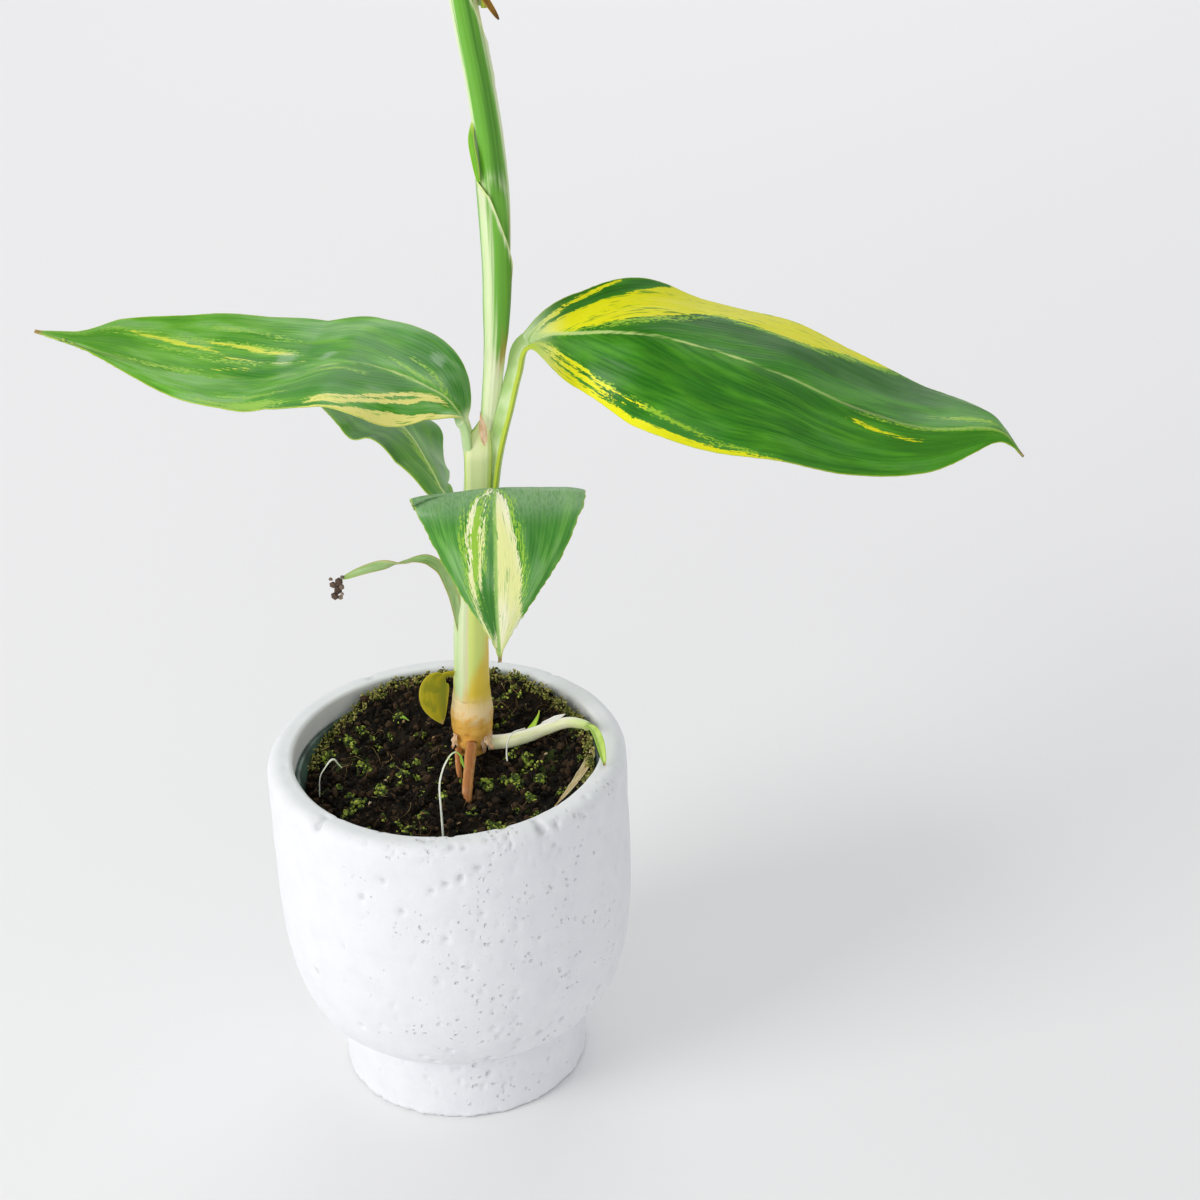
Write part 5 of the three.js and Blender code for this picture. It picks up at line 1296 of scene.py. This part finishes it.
# Moss grows in clumps, thickest at the foot of the stem's right side and near the walls.
moss_at = on_soil(
    (18.3, 48.3), (13.9, -6.5), (26, 4.5), (32.6, 47.1), (-15.1, 0.6), (-8.3, -20.5), (16.5, -28.4),
    (-28.8, 6), (-30.6, -13), (-25.5, -28.4), (-41.6, 14.5), (-21, 47.1), (-2.1, -12.1), (-22.8, -6.9),
    (24.1, 42.3), (43.1, 14.7), (22.6, -5.9), (31, -6.5), (-34.3, 20.4), (-34, -17), (-12, -27.6),
    (8, -34.9), (27.7, -15.4))
more = scatter(85, 33, outer=47)[0]
for name, at, each, spread, least, most, seed in (
        ("moss_lumps", moss_at, 95, 1.25, 0.35, 0.85, 35), ("moss_specks", more, 20, 0.8, 0.25, 0.6, 38)):
    places, sizes = clumps(at, each, spread, least, most, seed)
    settle(crumbs(name, moss, places, sizes, seed + 1, rough=0.35, flat=0.8), "potting_soil")
places, random = scatter(2300, 34, inner=45.8, outer=49.6, low=-20, high=170)
outward = smoothstep(np.hypot(places[:, 0], places[:, 1]), 44, 49.5)
places[:, 2] += random.uniform(0, 1.0, len(places)) * outward * 2.2
sizes = random.uniform(0.25, 0.55, len(places))
settle(crumbs("wall_moss", wall_moss, places, sizes, 39, rough=0.35), "potting_soil")
places = np.vstack([scatter(110, 40, outer=46)[0], scatter(70, 41, inner=36, outer=47, low=10, high=120)[0]])
settle(fibres("coir_fibres", fibre, places, 42), "potting_soil")
seeds = on_soil((-5.5, 19.2), (-26.2, -13.3), (3.9, -26.2), (-21.3, -1.6), (-8.3, -21.2), (24, 30), (-16, 28),
                (33, 8), above=0.6)
sizes = np.linspace(0.7, 1.1, len(seeds))
settle(crumbs("seed_husks", husk, seeds, sizes, 36, rough=0.15, flat=0.5), "potting_soil")
# The crumbs stuck to the twisted leaf's tip: the place of each, then its half-sizes.
stuck = np.array([
    (-31.0, -3, 192.0, 1.7, 1.5, 1.6), (-32.9, -3.4, 191.0, 1.3, 1.2, 1.2),
    (-31.6, -3, 189.2, 1.4, 1.3, 1.7), (-30.3, -3.3, 190.2, 1.0, 1.0, 1.1),
    (-32.6, -3.8, 187.2, 1.3, 1.1, 1.3), (-30.9, -2.8, 186.0, 0.9, 0.9, 1.0),
    (-29.7, -2.9, 193.6, 0.8, 0.8, 0.7), (-33.6, -3, 193.0, 0.7, 0.6, 0.7),
    (-30.2, -3.6, 187.6, 0.7, 0.7, 0.7)])
settle(crumbs("leaf_tip_crumbs", dry_soil, stuck[:, :3], None, 37, rough=0.22, half=stuck[:, 3:]),
       "potting_soil", "soil_crumbs")


# The cover pot.
def pot_profile():
    """Radius and height along the pot's skin, from the middle of its underside out, up the foot and
    the bowl, over the lip and down inside. The bowl is a superellipse of power 2.4."""
    def corner(radius, z, size, start, count):
        a = start + np.linspace(0, math.pi / 2, count)
        return np.stack([radius + size * np.cos(a), z + size * np.sin(a)], 1)

    def line(a, b, count):
        t = np.linspace(0, 1, count)[:, None]
        return np.array(a) * (1 - t) + np.array(b) * t

    a = np.linspace(math.pi / 2, 0, 74)
    bowl = np.stack([43.2 + 17.6 * np.cos(a) ** (2 / 2.4), 82 - 54.5 * np.sin(a) ** (2 / 2.4)], 1)
    parts = [
        line((0.5, 0), (39.7, 0), 6), corner(40.2, 2, 2, -math.pi / 2, 5), line((42.2, 2.4), (42.2, 26), 22),
        bowl, line((60.75, 83), (60.4, 120), 30), corner(56, 120.6, 4.4, 0, 9),
        line((55.8, 125), (53.8, 125), 4), corner(53.6, 123.5, 1.5, math.pi / 2, 5),
        line((52.1, 122), (52.1, 100), 12), line((52, 98), (49.6, 48), 6), line((46, 40), (42, 38), 3),
        line((30, 38), (0.5, 38), 3),
    ]
    return np.vstack(parts)


POT_SIDES = 430


def turned_from(angle, at):
    """The turn from one direction to another, from -pi to pi."""
    return (angle - at + np.pi) % (2 * np.pi) - np.pi


def pot_skin(finish):
    """The pot's profile turned round its axis, then pushed in and out along its face: long low waves
    as in a hand-finished cast, bubbles' pits up to 3 mm wide, chips at the lip and a crumbly foot.
    The field `cast` holds the push, the share of algal stain and painted shade, and how crowded the pinholes
    are."""
    profile = pot_profile()
    keep = np.concatenate([[True], np.linalg.norm(np.diff(profile, axis=0), axis=1) > 0.02])
    profile = profile[keep]
    slope = unit(np.gradient(profile, axis=0))
    normal = np.stack([slope[:, 1], -slope[:, 0]], 1)
    angle = np.linspace(0, 2 * np.pi, POT_SIDES, endpoint=False)
    radii, angles = np.meshgrid(profile[:, 0], angle, indexing="ij")
    heights = np.broadcast_to(profile[:, 1:2], radii.shape)
    way = np.concatenate([[0], np.cumsum(np.linalg.norm(np.diff(profile, axis=0), axis=1))])
    ways = np.broadcast_to(way[:, None], radii.shape)
    # The outside, in mm along the profile: from just above the foot's edge up to the lip.
    outside = smoothstep(ways, 44, 48) * smoothstep(205 - ways, 0, 6)
    push = 0.25 * np.sin(2 * angles + 1) * np.cos(heights / 23)
    push = push + 0.2 * np.sin(3 * angles + 0.6) * np.sin(heights / 31 + 1)
    # Low bumps, faded into themselves so that they meet after one turn of 380 mm.
    part, turn_length = angles / (2 * np.pi), 380

    def closed_hills(size, seed):
        start, end = (hills(part * turn_length - back, ways, size, seed) for back in (0, turn_length))
        return start * (1 - part) + end * part

    bumps = 0.14 * closed_hills(9, 41) + 0.06 * closed_hills(2.6, 42)
    push = (push + bumps) * outside
    # Pits: most on the right side and the front, a few elsewhere.
    random = np.random.default_rng(44)
    count, lip_count = 380, 45
    pit_angle = np.where(random.uniform(size=count) < 0.65, random.normal(-1.15, 0.5, count),
                         random.uniform(-np.pi, np.pi, count))
    pit_way = random.uniform(48, 196, count)
    pit_size = 0.6 + 0.9 * random.uniform(size=count) ** 3
    # Small pits in a row along the lip's outer edge.
    lip = np.arange(count) < lip_count
    lip_way = way[np.argmin(np.hypot(profile[:, 0] - 59.9, profile[:, 1] - 122.5))]
    pit_angle[lip] = np.radians(random.uniform(-115, -35, lip_count))
    pit_way[lip] = lip_way + random.normal(0, 1.0, lip_count)
    pit_size[lip] = random.uniform(0.35, 0.75, lip_count)
    for at, along_face, size in zip(pit_angle, pit_way, pit_size):
        near = np.abs(way - along_face) < 3 * size
        gap = np.hypot(turned_from(angles[near], at) * radii[near], ways[near] - along_face) / size
        push[near] -= 0.6 * size * np.exp(-gap**3)
    # Chips broken out of the lip's outer edge: the direction, the size and the depth.
    for at, size, depth in ((-2.34, 1.8, 1.3), (-1.0, 1.8, 1.2), (-2.0, 0.9, 0.4), (2.96, 1.0, 0.4),
                            (-0.2, 1.4, 0.4), (2.1, 2, 0.6), (0.9, 1.5, 0.5), (-1.45, 0.8, 0.3)):
        away = np.hypot(turned_from(angles, at) * radii, heights - 123.6) / size
        push = push - depth * np.exp(-away**4) * (radii > 54)
    foot = smoothstep(5 - heights, 0, 5) * (radii > 38) * smoothstep(ways, 38, 42)
    crumble = hills(angles * 42, ways, 2.2, 47) + 0.7 * hills(angles * 42, ways, 0.9, 48)
    push = push - foot * (0.45 * np.maximum(0, crumble) - 0.35 * np.maximum(0, -crumble))
    # A shallow groove where the bowl stands on the foot.
    push = push - 0.25 * np.exp(-(((heights - 27 - 0.8 * np.sin(3 * angles)) / 2.2) ** 2)) * (ways < 110)
    radius = radii + push * normal[:, 0:1]
    height = heights + push * normal[:, 1:2]
    rings = np.stack([radius * np.cos(angles), radius * np.sin(angles), np.maximum(height, 0)], -1)
    # Grey-green algal stain inside, below the lip, most on the left and more lower down: partly algal stain,
    # partly painted shade, as the left and lower inside lie in shade.
    left = 0.5 - 0.5 * np.cos(angles - 0.3)
    deeper = 0.55 + 0.45 * smoothstep(ways, 212, 228)
    algae_and_shade = smoothstep(ways, 207, 216) * (0.12 + 0.88 * left**1.5) * deeper
    crowded = outside * (0.3 + 0.7 * np.exp(-(turned_from(angles, -1.15) / 0.8) ** 2))
    fields = np.stack([push, algae_and_shade, crowded], -1).reshape(-1, 3)
    fields = np.vstack([fields, (0, 0, 0), (0, 1, 0)])
    return mesh_piece("pot_cast", capped(rings), ring_faces(*rings.shape[:2]), finish, {"cast": fields})


def concrete_finish(name):
    """White paint over cast concrete: matt and slightly chalky, with open pinholes of uneven shape
    where air bubbles were, faint brush unevenness, and grey-green algal stain inside. Painted shade
    darkens the pinholes, the deepest pits and chips, and the inside on the left and lower down."""
    look = Finish(name)
    push, algae_and_shade, crowded = look.parts("cast")
    place = look.place()
    # The pinholes' outlines are pulled about by up to 1 mm.
    shift = add(look.tree, "ShaderNodeTexNoise", {0: place, "Scale": 550, "Detail": 2}).outputs["Color"]
    shift = add(look.tree, "ShaderNodeVectorMath", {0: shift, "Scale": 0.0016}, operation="SCALE").outputs[0]
    pulled = add(look.tree, "ShaderNodeVectorMath", {0: place, 1: shift}, operation="ADD").outputs[0]
    # Pinholes in two sizes, in crowds about 15 mm across.
    crowd = look.join("MULTIPLY", look.ramp(look.noise(place, 70, 4), 0.36, 0.62), crowded)
    pits = []
    for scale, most in ((170, 0.26), (380, 0.34)):
        cells = add(look.tree, "ShaderNodeTexVoronoi", {0: pulled, "Scale": scale}).outputs["Distance"]
        inner = look.join("SUBTRACT", look.ramp(crowd, 0.05, 0.8, 0, most), cells)
        pits.append(look.share(inner, 0, 0.32))
    pinhole_and_shade = look.join("MAXIMUM", *pits)
    grit = look.noise(place, 1300, 3)
    stain = look.ramp(look.noise(place, 110, 5), 0.35, 0.65, 0.45, 1)
    colour = look.layers(
        linear("#ecedf0"),
        (look.ramp(look.noise(place, 120, 4), 0.4, 0.7, 0, 0.4), "#e2e3e7"),
        # Painted shade: the pinholes a little darker grey.
        (look.join("MULTIPLY", pinhole_and_shade, 0.14), "#b4b5b8"),
        # Painted shade: darker grey where the face is pushed in deepest, in the pits and the chips.
        (look.ramp(push, -0.35, -0.9, 0, 0.35), "#a9a9ab"),
        # Painted shade and algal stain: grey-green inside, most on the left and lower down.
        (look.join("MULTIPLY", stain, algae_and_shade), "#77806c"),
    )
    height = look.join("SUBTRACT", look.join("MULTIPLY", grit, 0.1), pinhole_and_shade)
    return look.done(colour, 0.72, (height, 1, 0.0006), Specular_IOR_Level=0.4)


settle(pot_skin(concrete_finish("painted concrete, white")), "painted_concrete", "pot")


def grow_pot(finish):
    """The nursery pot: a thin tapered cup with a turned-out rim, its profile turned round."""
    base = 38.35
    profile = np.array([
        (0.5, base), (30, base), (40.8, base), (41.7, base + 0.4), (42, base + 1.2), (46, 76), (50.7, 114.3),
        (51.3, 114.5), (51.6, 114.8), (51.65, 115.6), (51.65, 116.5), (51.4, 117), (50.9, 117.1), (50.1, 117),
        (49.8, 116.6), (45, 76), (41, base + 1.7), (30, base + 1.6), (0.5, base + 1.6),
    ])
    sides = 240
    angle = np.linspace(0, 2 * np.pi, sides, endpoint=False)
    radii, angles = np.meshgrid(profile[:, 0], angle, indexing="ij")
    heights = np.broadcast_to(profile[:, 1:2], radii.shape)
    # The rim isn't quite level.
    heights = heights + 0.35 * np.sin(3 * angles) * smoothstep(heights, 110, 116)
    rings = np.stack([radii * np.cos(angles), radii * np.sin(angles), heights], -1)
    return closed_skin("nursery_pot", rings, finish)


def plastic_finish(name):
    """Thin dark green polypropylene, moulded: slightly clear, satin, with soil smears."""
    look = Finish(name)
    smear = look.noise(look.place(), 130, 4)
    colour = look.layers(linear("#4f6a60"), (look.ramp(smear, 0.45, 0.62, 0, 0.7), "#2a352e"))
    return look.done(colour, look.ramp(smear, 0.4, 0.65, 0.3, 0.6), IOR=1.49, Transmission_Weight=0.15)


settle(grow_pot(plastic_finish("nursery pot plastic, dark green")), "nursery_plastic", "grow_pot")

# Threads of seedlings, as thin rods.
pale = tissue_finish("seedling stalk, white green", "#f0f3e4", "#dde6c8", "#fafaf4", "#c9dda0", 0.4, soft=0.3)
green = tissue_finish("seedling blade, green", "#8fc03a", "#a9d055", "#7aa92a", "#b4d070", 0.4, soft=0.2)
for name, finish, axis, radii in (
    ("seedling_front", pale,
     [(-0.8, -39.5, 114), (-0.8, -39, 120.4), (-0.9, -38.5, 127.6), (-0.8, -38, 134.8), (0.8, -37.5, 140.8),
      (2.9, -37, 144.6), (4.2, -36.5, 145.7), (5.3, -36, 145.7)], [0.4, 0.36, 0.33, 0.3, 0.25]),
    ("seedling_tip", green,
     [(5.3, -36, 145.7), (6.5, -35.5, 143.8), (6.8, -35.2, 141.3), (7.4, -35, 139)], [0.25, 0.35, 0.5, 0.25]),
    ("seedling_left", pale,
     [(-43.6, -6, 111), (-43, -5, 117.8), (-41.1, -4, 121.1), (-39, -3, 123.4), (-37.7, -2.5, 123.2),
      (-36.8, -2, 121.2), (-35.6, -2, 119.6)], [0.22, 0.2, 0.22, 0.35, 0.2]),
    ("shoot_thread", pale,
     [(26.5, 8.3, 126), (22.3, 7.2, 125.1), (20.5, 6, 122.6), (19.8, 5, 118.4), (20.1, 2, 115.2),
      (20.6, -4, 112.4)], [0.25, 0.3, 0.3, 0.3, 0.2]),
    ("grass_bits", green, [(-17.8, 29.4, 118.6), (-16, 28.6, 119.8), (-14.2, 27.9, 118.8)], [0.3, 0.5, 0.2]),
):
    rod(name, axis, radii, finish, "leaf_tissue", sides=7, steps=50)

# The floor is a wide sheet of matt white paper board, and the light is soft, mostly from the left.
board = Finish("paper board, matt white").done(linear("#f1f1f1"), 0.9)
FAR = 4000
floor = mesh_piece("floor", np.array([(-FAR, -FAR, 0), (FAR, -FAR, 0), (FAR, FAR, 0), (-FAR, FAR, 0)]),
                   [np.array([[0, 1, 2, 3]])], board)

world = bpy.data.worlds.new("studio")
bpy.context.scene.world = world
world.use_nodes = True
background = world.node_tree.nodes["Background"]
background.inputs["Color"].default_value = linear("#f6f6f9")
background.inputs["Strength"].default_value = 0.68


def soft_light(name, place, aim, size, watts, colour="#ffffff"):
    """A square soft box at a place, facing a point."""
    lamp = bpy.data.lights.new(name, "AREA")
    lamp.shape = "SQUARE"
    lamp.size = size
    lamp.energy = watts
    lamp.color = linear(colour)[:3]
    thing = bpy.data.objects.new(name, lamp)
    bpy.context.scene.collection.objects.link(thing)
    back = unit(np.array(place) - np.array(aim))
    right = unit(np.cross((0, 0, 1), back))
    up = np.cross(back, right)
    thing.matrix_world = Matrix([(*row, p) for row, p in zip(np.stack([right, up, back], 1).tolist(), place)]
                                + [(0, 0, 0, 1)])


soft_light("window_left", (-1.6, -0.95, 1.0), (0, 0, 0.12), 1.0, 20.5, "#fffefb")
soft_light("front", (-0.3, -1.8, 1.0), (0, 0, 0.12), 1.2, 2, "#f4f8ff")
soft_light("far_floor", (0.2, 1.7, 1.4), (0.1, 1.1, 0), 1.4, 8)
